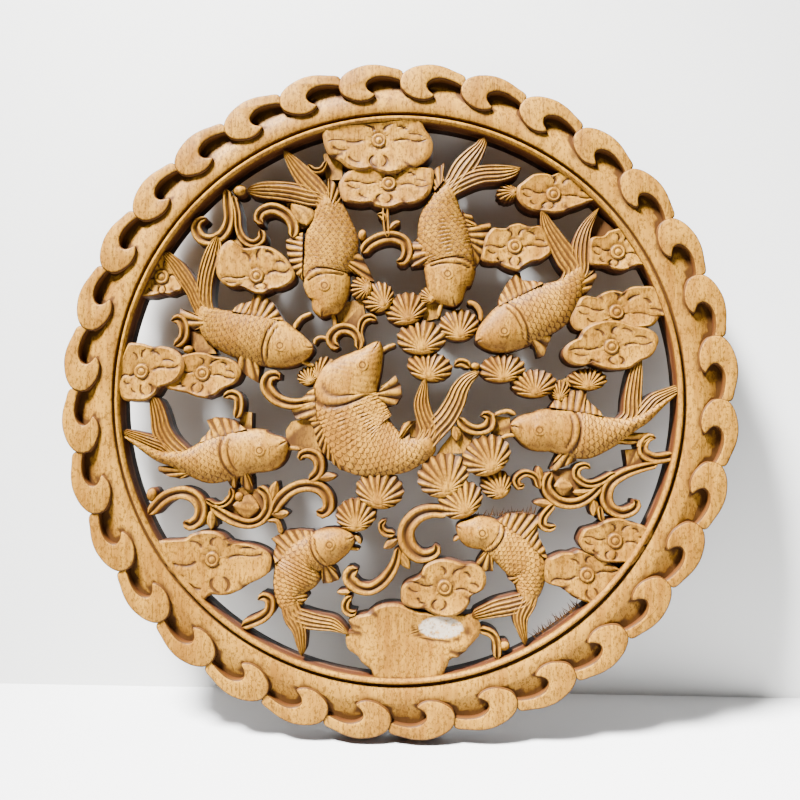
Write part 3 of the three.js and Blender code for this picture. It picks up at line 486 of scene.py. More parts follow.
    @staticmethod
    def scales(along: np.ndarray, across: np.ndarray) -> tuple[np.ndarray, np.ndarray]:
        """Overlapping round scales in offset rows.

        Args:
            along: Rows from the mouth.
            across: Scales from the middle of the back.

        Returns:
            Tilt of the scale (0 at its root, 1 at its free edge) and its dark seam.
        """
        row = np.floor(along)
        side = across - np.mod(row, 2) / 2
        side = side - np.round(side)
        gap = along - row - scale_edge(side)
        tilt = np.where(gap < 0, along - row, 0.25 * gap)
        return tilt, np.clip((gap + 0.1) / 0.1, 0, 1) * np.clip(1 - gap / 0.4, 0, 1)


@dataclass(frozen=True)
class Vein:
    """One curved knife stroke on a leaf whose edge lies about one from its boss.

    Args:
        middle: The stroke's middle.
        pivot: The centre that it bends round.
        reach: Half its length.
    """

    middle: tuple[float, float]
    pivot: tuple[float, float]
    reach: float
    width: float = 0.04

    @property
    def radius(self) -> float:
        """Radius of the bend."""
        return math.dist(self.middle, self.pivot)

    def depth(self, local: np.ndarray) -> np.ndarray:
        """How deep the stroke is at the given places.

        Args:
            local: Places as rows of leaf coordinates.

        Returns:
            Values from nought to one.
        """
        gap = np.abs(np.hypot(*np.moveaxis(local - self.pivot, -1, 0)) - self.radius)
        far = np.hypot(*np.moveaxis(local - self.middle, -1, 0))
        return bump(gap, self.width) * np.clip((self.reach - far) / (0.4 * self.reach), 0, 1)


VEINS = (
    Vein((0.42, 0.05), (0.44, -0.14), 0.19), Vein((0.74, -0.04), (0.72, 0.16), 0.19),
    Vein((-0.42, -0.05), (-0.44, 0.14), 0.19), Vein((-0.74, 0.04), (-0.72, -0.16), 0.19),
    Vein((0.7, 0.27), (0.62, 0.1), 0.17), Vein((-0.7, -0.27), (-0.62, -0.1), 0.17),
    Vein((-0.11, 0.6), (-0.3, 0.5), 0.2), Vein((0.13, 0.62), (0.34, 0.52), 0.2),
    Vein((-0.15, -0.62), (0.08, -0.6), 0.23), Vein((0.15, -0.62), (-0.08, -0.6), 0.23),
    Vein((0.46, 0.58), (0.3, 0.42), 0.16), Vein((-0.46, -0.58), (-0.3, -0.42), 0.16),
)


@dataclass(frozen=True)
class Leaf:
    """A lotus leaf, its edge given as lobes between notches (None marks a notch)."""

    boss: tuple[float, float]
    level: float
    edge: Sequence[tuple[float, float] | None]
    plain: bool = False
    scar: tuple[float, float, float, float] | None = None

    def outline(self) -> np.ndarray:
        """The edge as points, rounded between the notches.

        Returns:
            Points in drawing units.
        """
        knots = list(self.edge)
        if None in knots:
            first = knots.index(None)
            knots = knots[first + 1:] + knots[:first + 1]
        lobes: list[list[tuple[float, float]]] = [[]]
        for point in knots:
            if point is None:
                lobes.append([])
            else:
                lobes[-1].append(point)
        lobes = [lobe for lobe in lobes if lobe]
        rounded = [smooth(lobe, 0.6) if len(lobe) > 1 else np.array(lobe, float) for lobe in lobes]
        return np.vstack(rounded)

    def shells(self, knife: Knife) -> list[Shell]:
        """Carves the leaf: a shallow dish, its boss and ring, and the vein strokes.

        Args:
            knife: Carves its lines.

        Returns:
            One solid.
        """
        unit = knife.board.unit
        line = self.outline() * unit
        boss = knife.place(*self.boss)
        edge = even(np.vstack([line, line[:1]]), np.hypot(*np.diff(line, axis=0).T).sum() / LEAF_SIDES)[:-1]
        shares = np.linspace(0, 1, LEAF_RINGS + 1)[1:] ** 0.92
        place = boss + (edge - boss)[None] * shares[:, None, None]
        flat = place - boss
        gap = np.hypot(flat[..., 0], flat[..., 1])
        share = np.broadcast_to(shares[:, None], gap.shape)
        height = self.level - 1.3 * (1 - share**2) + 0.3 * bump(share - 0.93, 0.06)
        # cut is painted shade: in the ring round the boss, the vein strokes, the scar's groove and the creases at
        # the notches
        cut = np.zeros_like(height)
        if not self.plain:
            height = height - 0.9 * bump(gap / unit - 2.9, 0.8)
            cut = 0.4 * bump(gap / unit - 3.1, 0.6)
        low, high = flat[-1].min(axis=0), flat[-1].max(axis=0)
        local = np.where(flat < 0, flat / -low, flat / high)
        turn = math.radians(14 * math.sin(self.boss[0] + 2 * self.boss[1]))
        local = local @ np.array([[math.cos(turn), math.sin(turn)], [-math.sin(turn), math.cos(turn)]])
        for mark in () if self.plain else VEINS:
            stroke = mark.depth(local)
            height = height - 1.1 * stroke
            cut = np.maximum(cut, 0.5 * stroke)
        if self.scar:
            u, v, wide, tall = (c * unit for c in self.scar)
            ring = np.hypot((place[..., 0] - u) / wide, (place[..., 1] - v) / tall)
            lower = np.clip(0.7 - (place[..., 1] - v) / tall, 0, 1)
            height = height - 1.1 * bump(ring - 1.15, 0.1) * lower - 0.5 * np.clip((1 - ring) / 0.1, 0, 1)
            cut = np.maximum(cut, 0.8 * bump(ring - 1.15, 0.09) * lower)
        for notch in self.notches() * unit:
            inner = notch + 0.2 * (boss - notch)
            way = inner - notch
            along = np.clip((place - notch) @ way / (way @ way), 0, 1)
            crease = bump(np.hypot(*(place - notch - along[..., None] * way).transpose(2, 0, 1)), 1.3)
            height = height - 1.3 * crease * (1 - 0.6 * along)
            cut = np.maximum(cut, 0.8 * crease)
        spin = np.arctan2(flat[..., 1], flat[..., 0])
        lobed = np.sin(3 * spin + self.boss[0]) + 0.6 * np.sin(5 * spin + self.boss[1])
        ripple = np.sin(place[..., 0] * 0.7 + 1.3 * np.sin(place[..., 1] * 0.45))
        wave = 0.12 * ripple + 0.45 * lobed * share**2
        wave = wave - 1.3 * np.clip((share - 0.93) / 0.07, 0, 1) ** 2
        rings = np.dstack([place, height + wave])
        middle = np.array([*boss, self.level + (0.0 if not self.plain else -1.3)])
        marks = np.dstack([local, np.full(height.shape, 0.0 if self.plain else -1.0)])
        leaf = disc(middle, rings, np.clip(cut, 0, 1), marks)
        return [leaf] if self.plain else [leaf, self.knob(knife)]

    def knob(self, knife: Knife) -> Shell:
        """Carves the boss and its ring at the leaf's middle.

        Args:
            knife: Places its circles.

        Returns:
            The closed solid.
        """
        reach = np.array([0.5, 0.95, 1.4, 1.8, 2.15, 2.5, 2.9])[:, None]
        place = knife.circles(self.boss, reach)
        rise = 1.3 * bump(reach, 1.0) + 0.6 * bump(reach - 2.1, 0.4)
        rise = rise - 0.7 * np.clip((reach - 2.4) / 0.4, 0, 1)
        height = np.broadcast_to(self.level - 1.1 + rise, place.shape[:2])
        # painted shade in the ring round the boss and at its edge
        cut = np.broadcast_to(0.75 * bump(reach - 1.4, 0.28) + 0.4 * bump(reach - 2.9, 0.4), height.shape)
        middle = np.array([*knife.place(*self.boss), self.level + 0.2])
        return disc(middle, np.dstack([place, height]), cut)

    def notches(self) -> np.ndarray:
        """Places where two lobes of the edge meet.

        Returns:
            Points in drawing units.
        """
        knots = [*self.edge, *self.edge[:1]]
        spots = [
            np.add(before, after) / 2
            for before, gap, after in zip(knots, knots[1:], knots[2:])
            if gap is None and before is not None and after is not None
        ]
        return np.array([spot for spot in spots if math.hypot(*spot) < 96]).reshape(-1, 2)


@dataclass(frozen=True)
class Fan:
    """A ribbed fan: middle, half width, half height, turn in degrees, and how high it sits."""

    u: float
    v: float
    wide: float
    tall: float
    turn: float
    level: float = Level.FAN.value
    ribs: int = 12

    def shells(self, knife: Knife) -> list[Shell]:
        """Carves ribs that spread from a smooth domed hinge to a scalloped rim.

        Args:
            knife: Carves its lines.

        Returns:
            One solid.
        """
        unit = knife.board.unit
        turn = math.radians(self.turn - 90)
        spread = np.linspace(-0.5, 2 * math.pi - 0.5, FAN_SIDES, endpoint=False)
        hinge = np.array([0, -0.72 * self.tall])
        ellipse = np.stack([self.wide * np.cos(spread), self.tall * np.sin(spread)], axis=1)
        ray = ellipse - hinge
        angle = np.arctan2(ray[:, 1], ray[:, 0])
        phase = np.clip((angle + 0.12) / (math.pi + 0.24), 0, 1) * self.ribs
        ribbed = ((angle > -0.12) & (angle < math.pi + 0.12)).astype(float)
        valley = (0.5 + 0.5 * np.cos(2 * math.pi * phase)) ** 1.7 * ribbed
        shares = np.linspace(0, 1, FAN_RINGS + 1)[1:]
        deep = np.clip((shares - 0.22) / 0.7, 0, 1)[:, None]
        rim = ray * (1 - 0.055 * valley)[:, None]
        flat = hinge + rim[None] * shares[:, None, None]
        axis = np.array([[math.cos(turn), math.sin(turn)], [-math.sin(turn), math.cos(turn)]])
        place = (flat @ axis + np.array([self.u, self.v])) * unit
        swell = 1.0 * bump(shares - 0.55, 0.4)[:, None] - 2.4 * shares[:, None] ** 3
        height = self.level - 0.8 + swell - 1.9 * deep**0.8 * valley + 0.9 * bump(shares, 0.2)[:, None]
        # painted shade in the valleys between the ribs
        cut = np.clip(valley * deep**0.55, 0, 1)
        middle = np.array([*((hinge @ axis + np.array([self.u, self.v])) * unit), self.level + 0.6])
        return [disc(middle, np.dstack([place, height]), cut)]


def channel(s: Rows, t: Rows, place: Rows, run: Rows, half: Rows) -> tuple[Rows, ...]:
    """Curling weed: two raised edges either side of a dark channel."""
    rise = bump(np.abs(t) - 0.62, 0.3)
    groove = bump(t, 0.3) * np.clip(s / 0.05, 0, 1)
    # the second value is painted shade in the channel
    return Level.SCROLL.value - 1.6 + 1.6 * rise - 0.9 * groove - 0.7 * t**6, 0.85 * groove


def blade(s: Rows, t: Rows, place: Rows, run: Rows, half: Rows) -> tuple[Rows, ...]:
    """A petal: a raised midrib that falls to its edges."""
    height = Level.PETAL.value - 1.8 * np.abs(t) ** 1.4 + 0 * s
    # the second value is painted shade in a line either side of the midrib
    return height, 0.8 * bump(np.abs(t) - 0.45, 0.16) * np.sin(math.pi * s)


def bud(knife: Knife, u: float, v: float, wide: float, tall: float) -> Shell:
    """Carves a small dome.

    Args:
        knife: Gives the board's unit.
        u: Middle, to the right.
        v: Middle, up.
        wide: Half width.
        tall: Half height.

    Returns:
        The closed solid.
    """
    spread = np.linspace(0, 2 * math.pi, 20, endpoint=False)
    shares = np.linspace(0, 1, 6)[1:]
    round_line = np.stack([wide * np.cos(spread), tall * np.sin(spread)], axis=1) * knife.board.unit
    place = knife.place(u, v) + round_line[None] * shares[:, None, None]
    height = np.broadcast_to((Level.BUD.value - 3.2 * shares**2.4)[:, None], place.shape[:2])
    # painted shade round the dome's edge
    cut = 0.5 * np.broadcast_to((shares > 0.95)[:, None], height.shape).astype(float)
    return disc(np.array([*knife.place(u, v), Level.BUD.value]), np.dstack([place, height]), cut)


def ground(knife: Knife, outline: Path) -> Shell:
    """Carves a low plate between the motifs.

    Args:
        knife: Gives the board's unit.
        outline: Its corners in drawing units.

    Returns:
        The closed solid.
    """
    edge = np.array(outline, float) * knife.board.unit
    height = np.full((len(edge), 1), Level.GROUND.value)
    loop = list(range(len(edge)))
    # the negative value lifts the low plates out of part of the painted shade of the hollows
    return walled(np.hstack([edge, height]), np.full(len(edge), -0.8), [tuple(loop)], loop)


@dataclass(frozen=True)
class Fibres:
    """Torn wood fibres that stand out from a sawn edge, in drawing units."""

    start: tuple[float, float]
    stop: tuple[float, float]
    out: tuple[float, float]
    count: int

    def shells(self, knife: Knife) -> list[Shell]:
        """Makes each fibre as a thin sliver.

        Args:
            knife: Gives the board's unit.

        Returns:
            The slivers.
        """
        chance = np.random.default_rng(CREST_COUNT + self.count)
        made = []
        for share in np.linspace(0, 1, self.count):
            root = knife.place(*(np.array(self.start) + share * np.subtract(self.stop, self.start)))
            way = np.array(self.out) + chance.normal(0, 0.35, 2)
            side = np.array([way[1], -way[0]]) * 0.32
            high = chance.uniform(10, 17)
            tip = root + way * chance.uniform(2.6, 5.4)
            base = root - way
            foot = [[*(base - side), high], [*(base + side), high], [*base, high - 1]]
            points = np.array([*foot, [*tip, high]])
            faces = [(0, 1, 3), (1, 2, 3), (2, 0, 3), (0, 2, 1)]
            made.append(Shell(points, faces, np.full(4, 1.0), np.zeros((4, 3))))
        return made


FIBRES = (
    Fibres((25, -43.6), (50, -41.2), (0.15, 1.0), 44),
    Fibres((49.5, -85.2), (65.2, -74), (-0.55, 0.85), 52),
)


@dataclass(frozen=True)
class Border:
    """The ring: bead, groove, flat band and the hollows under the crests."""

    board: Board
    sides: int = 240

    def ring(self) -> Shell:
        """Turns the ring's profile round the centre.

        Returns:
            The closed solid.
        """
        start, share = self.board.field, self.board.outer / 250
        step = lambda run, high, dark: (start + run * share, high, dark)  # noqa: E731
        band, bead, groove = Level.BAND.value, Level.BEAD.value, Level.GROOVE.value
        # The third number of each step is how much shade is painted there: a little at the edges, most in the
        # groove, and in the hollows under the crests, darkest toward their outer edge.
        profile = [
            step(0, 0, 0), step(0, 20.6, 0.2), step(0.7, bead - 1, 0), step(1.7, bead, 0), step(2.7, bead, 0),
            step(3.7, bead - 0.9, 0), step(4.3, groove + 0.3, 0.9), step(5, groove, 1), step(5.7, groove + 0.3, 0.9),
            step(6.5, band - 0.6, 0.3), step(7.3, band, 0), step(12, band + 0.1, 0), step(17.5, band, 0),
            step(19.5, 20.4, 0), step(24, 18.6, 0.1), step(28, 17.2, 0.3), step(31, 16.4, 0.62),
            step(37.5, 15.9, 0.8), step(37.5, 0, 0),
        ]
        rows = np.array(profile)
        turn = np.linspace(0, 2 * math.pi, self.sides, endpoint=False)
        radius, height = rows[:, 0], rows[:, 1]
        around = [np.outer(np.sin(turn), radius), np.outer(np.cos(turn), radius)]
        points = np.stack([*around, np.tile(height, (self.sides, 1))], axis=2)
        at = np.arange(points.shape[0] * points.shape[1]).reshape(points.shape[:2])
        on, out = np.roll(at, -1, axis=0), np.roll(at, -1, axis=1)
        corner = np.roll(on, -1, axis=1)
        faces = list(zip(at.flat, out.flat, corner.flat, on.flat))
        cut, marks = np.tile(rows[:, 2], self.sides), np.zeros((points.size // 3, 3))
        return Shell(points.reshape(-1, 3), faces, cut, marks)

    def crest(self) -> Shell:
        """One comma-shaped crest, clockwise from the notch at twelve o'clock.

        Returns:
            The closed solid.
        """
        drawn = [
            (0.3, 236), (0.7, 241.3), (1.7, 245.2), (3.3, 248.2), (5.6, 250), (7.8, 249.4), (9.8, 247.4),
            (11.9, 244.6), (12.0, 236.8), (10.9, 237.9), (9.6, 239.2), (8.2, 239.9), (7.0, 239.4), (6.0, 237.6),
            (5.4, 234.8), (5.5, 231.5), (6.1, 228.9), (6.9, 226.6), (6.3, 223.9), (4.9, 222.3), (3.1, 223.2),
            (1.4, 227), (0.5, 231.4), (0.3, 236),
        ]
        scale = self.board.outer / DRAWN_REACH
        polar = np.array(drawn)
        turn, radius = np.radians(polar[:, 0]), polar[:, 1] * scale
        line = smooth(np.stack([radius * np.sin(turn), radius * np.cos(turn)], axis=1), CREST_STEP)[:-1]
        way = np.roll(line, -1, axis=0) - np.roll(line, 1, axis=0)
        way /= np.linalg.norm(way, axis=1, keepdims=True)
        inward = np.stack([way[:, 1], -way[:, 0]], axis=1)
        rings = []
        for inset, drop in ((1.5, 0.0), (0.75, 0.25), (0.0, 1.1)):
            turned = np.degrees(np.arctan2(line[:, 0], line[:, 1]))
            tucked = 1.3 * np.clip((turned - 7.5) / 4.3, 0, 1)
            rings.append(np.column_stack([line + inward * inset, Level.CREST.value - drop - tucked]))
        points = np.vstack(rings)
        count = len(line)
        at = np.arange(3 * count).reshape(3, count)
        after = np.roll(at, -1, axis=1)
        faces = list(zip(at[:-1].flat, at[1:].flat, after[1:].flat, after[:-1].flat))
        faces.append(tuple(int(i) for i in at[0]))
        # painted shade where the crest's top falls to its rim
        return walled(points, np.repeat([0, 0.1, 0.75], count), faces, [int(i) for i in at[-1]])


CARP = (
    Carp(
        ((-27.3, 28.2, 2.8), (-26.9, 30.5, 4.9), (-25.5, 34, 6.8), (-25.3, 39, 8.4), (-26, 45, 8.7), (-25, 50, 9.5),
         (-24.3, 55, 10.2), (-24.2, 60, 9.1), (-24.5, 65, 6.7), (-25.8, 69.5, 5.2), (-27.5, 73, 4.2)),
        (((-28.5, 74, 3.5), (-31.5, 77, 4), (-35.5, 81.5, 3.4), (-39, 86, 2.2), (-42, 89.8, 0.5)),
         ((-28, 72, 3.4), (-32, 72.8, 3.6), (-38, 74.2, 3.6), (-44, 75, 3.4), (-50, 75.2, 2.9), (-55.3, 75, 1.2))),
        ((((-34.5, 59.5), (-34.5, 42.5)),
          ((-38, 58.5), (-41, 56.5), (-40.3, 52), (-39.3, 48.5), (-37.5, 45), (-34.3, 41.5))),
         (((-26, 74), (-22, 66.5)), ((-25.5, 80), (-22.5, 77.3), (-20.9, 73), (-21.3, 69))),
         (((-20.5, 53), (-18.3, 46)),
          ((-16, 53.7), (-12.8, 50.5), (-10.2, 45.5), (-8.3, 41.5), (-12, 42), (-16.5, 45)))),
        (((-31, 29.8, 0.7), (-34.5, 28.2, 0.8), (-36.8, 25.5, 0.9), (-37, 24, 0.9)),
         ((-23.5, 30, 0.8), (-22.7, 27.5, 0.8), (-22.3, 24.5, 0.8))),
        (-26, 39.3), 1.8, 0.4,
    ),
    Carp(
        ((20.8, 32.2, 3), (20.2, 34.5, 5.2), (18.8, 39, 7.6), (19.2, 45, 9.3), (19.2, 50, 9), (17.8, 55, 9.5),
         (16.8, 60, 9.5), (16.3, 65, 8.2), (16.8, 70, 6), (17.8, 74, 4.2), (19, 76.5, 3.7)),
        (((20.5, 77.5, 3.6), (24, 83, 4.2), (27.5, 87.5, 3.4), (30, 90.8, 2.2), (31.5, 94, 1.3)),
         ((20.5, 76.5, 3.4), (26, 79.3, 3.5), (31, 80.7, 3.3), (37, 81, 3.1), (42, 81.7, 2), (44.8, 82.8, 0.4))),
        ((((23.5, 68), (28.2, 50)),
          ((24.7, 66), (27, 65.8), (29, 61.8), (31, 60.9), (33.7, 63.3), (34.2, 60), (33.7, 56), (31, 50.5),
           (28.3, 46.7))),
         (((13.5, 74.5), (17, 78.5)), ((12.5, 77.5), (12.9, 82.3), (15, 84), (16.9, 85.3), (16.8, 80))),
         (((13.5, 57.5), (12, 48.5)),
          ((9.5, 58.3), (6, 56.5), (4.6, 53), (4.4, 49.5), (5, 47), (9.5, 47.3)))),
        (((16.8, 34.5, 0.8), (15.7, 31.5, 0.8), (15, 28.5, 0.8)),
         ((25.5, 34, 0.9), (28.5, 33, 0.9), (30.3, 30, 0.9), (30.5, 27, 0.8))),
        (18.3, 43.6), 1.9, 0.2,
    ),
    Carp(
        ((28.5, 19.5, 2.2), (31.2, 20.6, 4.9), (37, 22.9, 7.9), (43.2, 26.2, 9.1), (49.8, 29.6, 9.2),
         (56.5, 33.2, 8.6), (61.8, 37.9, 5.9), (64.8, 43, 4.1), (66.5, 46.5, 3.5)),
        (((64, 45, 4), (61.3, 50, 4.2), (58, 55.2, 3.5), (54.5, 61.3, 2.6), (52.2, 67.8, 0.5)),
         ((66.3, 46, 3), (66.2, 51, 3.4), (66.6, 55.5, 3.2), (67.6, 59.5, 2.5), (69.3, 63, 1.7), (72.8, 68, 0.4))),
        ((((36.8, 32.3), (52.5, 40.5)),
          ((37, 35.7), (39.4, 40.3), (42, 43.5), (44.5, 45.1), (45, 42), (50, 41.7), (53, 41))),
         (((64, 41.5), (63.5, 36.5)),
          ((67, 42.5), (70, 44), (71.5, 46.3), (72, 43.2), (70.5, 40), (68.3, 36.8), (65.2, 36))),
         (((47.5, 28.5), (49, 18)),
          ((50, 27.7), (54, 25.5), (56.2, 22.5), (54.5, 18.3), (53, 14.5), (51, 14), (50.2, 17.5)))),
        (),
        (38.5, 23), 2.1, 0.0,
    ),
    Carp(
        ((41, -10.5, 2.8), (45, -11.3, 5), (50, -12.4, 7.3), (56, -12.2, 7.8), (62, -13, 8.4), (68, -13.8, 8.6),
         (74, -13.2, 6.5), (79, -12, 4.6), (84, -10, 2.8), (89, -7.4, 2.1), (94, -3.3, 1.4), (100, 1.3, 0.6)),
        (((84, -7.5, 3.6), (84.5, -1, 3.2), (85.2, 5, 2.8), (86, 10, 2.1), (87.4, 15.2, 0.4)),
         ((88, -6, 3), (92, -1.3, 2.6), (96, 1, 1.9), (101, 3.2, 1.4))),
        ((((55, -4), (74, -7)),
          ((56.5, -1.8), (60.3, 1.2), (64.3, 2.4), (68.5, 2), (67.5, -0.3), (70.3, -2.8), (72.8, -5))),
         (((60.5, -17), (65, -19)),
          ((57.8, -20.5), (55.2, -26.2), (57.5, -26.6), (61, -24.8), (64.5, -23.2))),
         (((78, -12.5), (77.5, -17)),
          ((84, -12.8), (90.4, -12.8), (89, -15.3), (84, -17.2), (80, -17)))),
        (((43, -6.8, 0.8), (40.5, -5.5, 0.8), (37.5, -6, 0.8), (35.5, -7, 0.7)),
         ((43, -14, 0.7), (40, -14.3, 0.8), (37.3, -15.6, 0.7))),
        (51, -12.2), 2.1, 0.0,
    ),
    Carp(
        ((22, -46.5, 2.4), (27, -48.5, 5.6), (33, -49.4, 6), (40, -54, 6.9), (44, -57.4, 7.2), (47, -60.8, 6.9),
         (47.8, -64.2, 6), (47.8, -68.5, 4.7), (47, -73, 3.6)),
        (((46.5, -72.5, 3.4), (41.5, -74.2, 3.5), (36, -75.4, 3.2), (31.5, -76.8, 2.4), (27.5, -78, 1.6)),
         ((46.8, -73, 3.5), (44.8, -77.5, 3), (44.7, -80.5, 2.4), (45.7, -85, 1.4), (46.3, -87.8, 0.5))),
        ((((36.5, -44.5), (53.2, -57.5)),
          ((40.2, -42), (45.7, -41.7), (50.5, -42.5), (52.4, -44), (50.7, -46), (51.2, -50), (53.3, -54.2),
           (54.3, -57.6))),
         (((31.5, -55.5), (35.3, -56)),
          ((29.5, -58.5), (28.9, -60), (31.5, -62.6), (34.9, -62.5), (35.3, -59))),
         (((42.5, -62.5), (44.5, -66)), ((40.2, -62.8), (40.3, -65), (42.8, -67.2)))),
        (((25, -50, 0.6), (22.5, -50.8, 0.8), (20.9, -52, 0.5)),),
        (30.9, -48.7), 1.65, 0.2,
    ),
    Carp(
        ((-14.5, -51, 2.6), (-18, -52.2, 4.7), (-23, -54, 6.6), (-28, -56.3, 6.8), (-32.5, -58.8, 7.2),
         (-35, -63.5, 8.7), (-37.3, -68.5, 6.6), (-37.8, -73.5, 4.6), (-36.5, -77.5, 4.2)),
        (((-36, -78.5, 3.4), (-31.5, -80.3, 3.3), (-26.5, -81.2, 2.9), (-21.5, -82, 2.4), (-16.2, -85, 0.5)),
         ((-36, -79.5, 3.6), (-34, -84, 2.6), (-33.2, -88.5, 1.9), (-32.6, -93, 0.7))),
        ((((-28.5, -50.5), (-43, -60.5)),
          ((-30, -48.8), (-35, -48.5), (-39.5, -49), (-44.8, -52), (-42.8, -53.5), (-43.8, -58))),
         (((-27.5, -61), (-22.5, -61)),
          ((-26.2, -65), (-25.7, -67.7), (-22.5, -67.2), (-19.8, -66.2), (-21, -62.5))),
         (((-36, -70), (-34, -75)), ((-31.8, -70.5), (-30.8, -72.5), (-32.8, -75)))),
        (((-18.5, -55, 0.8), (-15.5, -55, 0.8), (-12.7, -55.4, 0.5)),
         ((-15, -50.5, 1), (-13.3, -51.5, 1), (-12.3, -53.5, 0.5))),
        (-23.1, -53.4), 1.7, 0.2,
    ),
    Carp(
        ((-39, -17, 2.6), (-45, -20, 7.2), (-52, -20.5, 8.1), (-60, -22.2, 8.7), (-68, -24.2, 8.2), (-75, -24.5, 5),
         (-80, -23.6, 3.2), (-86, -22.5, 2.2), (-92, -19.3, 1.5), (-98.8, -15.5, 0.5)),
        (((-82, -18.5, 3.8), (-85, -13.5, 3.6), (-86, -9, 3.1), (-87, -5, 2.6), (-88.3, -1, 1.6)),
         ((-84, -19.5, 2.6), (-89.5, -17.2, 2.3), (-94.5, -15.3, 1.7), (-99.3, -13.6, 1))),
        ((((-54, -12.6), (-71, -17.5)),
          ((-58.8, -9.5), (-62.4, -8.4), (-65.2, -8.2), (-68.8, -9.3), (-67.3, -12.5), (-71, -16.8))),
         (((-59.5, -26), (-57, -26)), ((-61.2, -30), (-60, -33), (-57.5, -34.2), (-57, -30))),
         (((-56, -27), (-53, -27.5)), ((-56.5, -31), (-55, -34), (-51.5, -34.8), (-51.8, -30))),
         (((-74, -26), (-75, -29.5)),
          ((-80, -26.3), (-86.3, -26.3), (-86, -28.2), (-82, -30), (-78, -30.8)))),
        (((-40.5, -19.5, 0.8), (-37, -19.3, 0.8), (-34.5, -19.8, 0.8)),),
        (-48.6, -20.2), 1.9, 0.0,
    ),
    Carp(
        ((-30, 16.8, 2.2), (-34.5, 16.7, 5.4), (-40, 17.4, 7.9), (-46, 19.2, 9.2), (-53, 21.2, 9), (-60, 22.6, 8.2),
         (-65.5, 25, 6.8), (-69.5, 28.6, 4.8), (-71.5, 32, 3.6)),
        (((-70.5, 33, 3.2), (-70.5, 38, 3), (-69.8, 44, 3), (-68.2, 50, 3), (-66.8, 55, 2), (-65.8, 58, 0.5)),
         ((-72.5, 33, 2.6), (-74.8, 38, 2.6), (-78, 43, 2.9), (-81.5, 47.8, 2.4), (-85.5, 52, 1.4))),
        ((((-60.2, 30.3), (-41.8, 26.9)),
          ((-58.4, 32.8), (-54.7, 33.9), (-52.4, 34.2), (-52.4, 37.1), (-51, 37.9), (-48.3, 36.2), (-45.1, 33.5),
           (-40, 25.3))),
         (((-69.8, 29.4), (-69.8, 24.3)),
          ((-74, 29.6), (-79.7, 31.7), (-79, 28), (-76.7, 25.7), (-74.4, 23.6))),
         (((-58, 17.5), (-50.5, 15.5)),
          ((-58.5, 13), (-57.3, 9.5), (-54.5, 6.8), (-50.3, 4.3), (-49.8, 8.5), (-49, 12.5)))),
        (((-29.8, 18.4, 0.7), (-29.5, 20, 0.7), (-27.6, 21, 0.7), (-25, 20.5, 0.7)),
         ((-35, 12.5, 0.7), (-32, 11.2, 0.8), (-29.8, 10.6, 0.6))),
        (-41.8, 17.5), 1.9, 0.0,
    ),
    Carp(
        ((-6, 19.3, 1.6), (-8.5, 15, 4.3), (-11.3, 11, 7), (-15, 6.2, 10.2), (-18.3, 0.5, 12.2), (-15.9, -7.7, 13),
         (-13.3, -13.3, 13.2), (-9.6, -17.5, 12.6), (-2.8, -20.4, 9), (3.2, -21.2, 6.5), (9.2, -19.2, 4.6),
         (12.6, -15.3, 5)),
        (((12.5, -13, 4.2), (10.5, -8, 3.2), (9.3, -3, 2.9), (9.8, 2, 1.8), (10.7, 6.5, 0.4)),
         ((14, -12.5, 4), (18, -8, 4), (21.2, -2.5, 3.7), (23, 2.2, 3.2), (25.8, 6, 2.3), (30, 8.5, 0.8))),
        ((((-29.5, 2.5), (-28.5, -10)), ((-32, 1), (-35.5, -2.5), (-38, -5.8), (-36.3, -8.6), (-32, -9.2))),
         (((-28.5, -8), (-19, -24.5)),
          ((-31, -9.8), (-29.6, -13), (-28.3, -18), (-24.5, -23.2), (-20, -27), (-14, -28.6))),
         (((-5.3, 3.2), (-7.3, -2.5)),
          ((-3, 5), (-0.4, 7.3), (1.6, 3.7), (2, 0), (0, -3.2), (-4, -4.2))),
         (((0.2, -15.5), (0.5, -19.3)),
          ((1.9, -11), (4.3, -9.4), (7.2, -8.9), (4.9, -11), (5, -14.5), (5.6, -18.3)))),
        (((-5.5, 15.8, 0.8), (-3.5, 17.3, 0.8), (-0.3, 18.5, 0.7)),),
        (-12, 10.6), 1.95, 0.0,
    ),
)

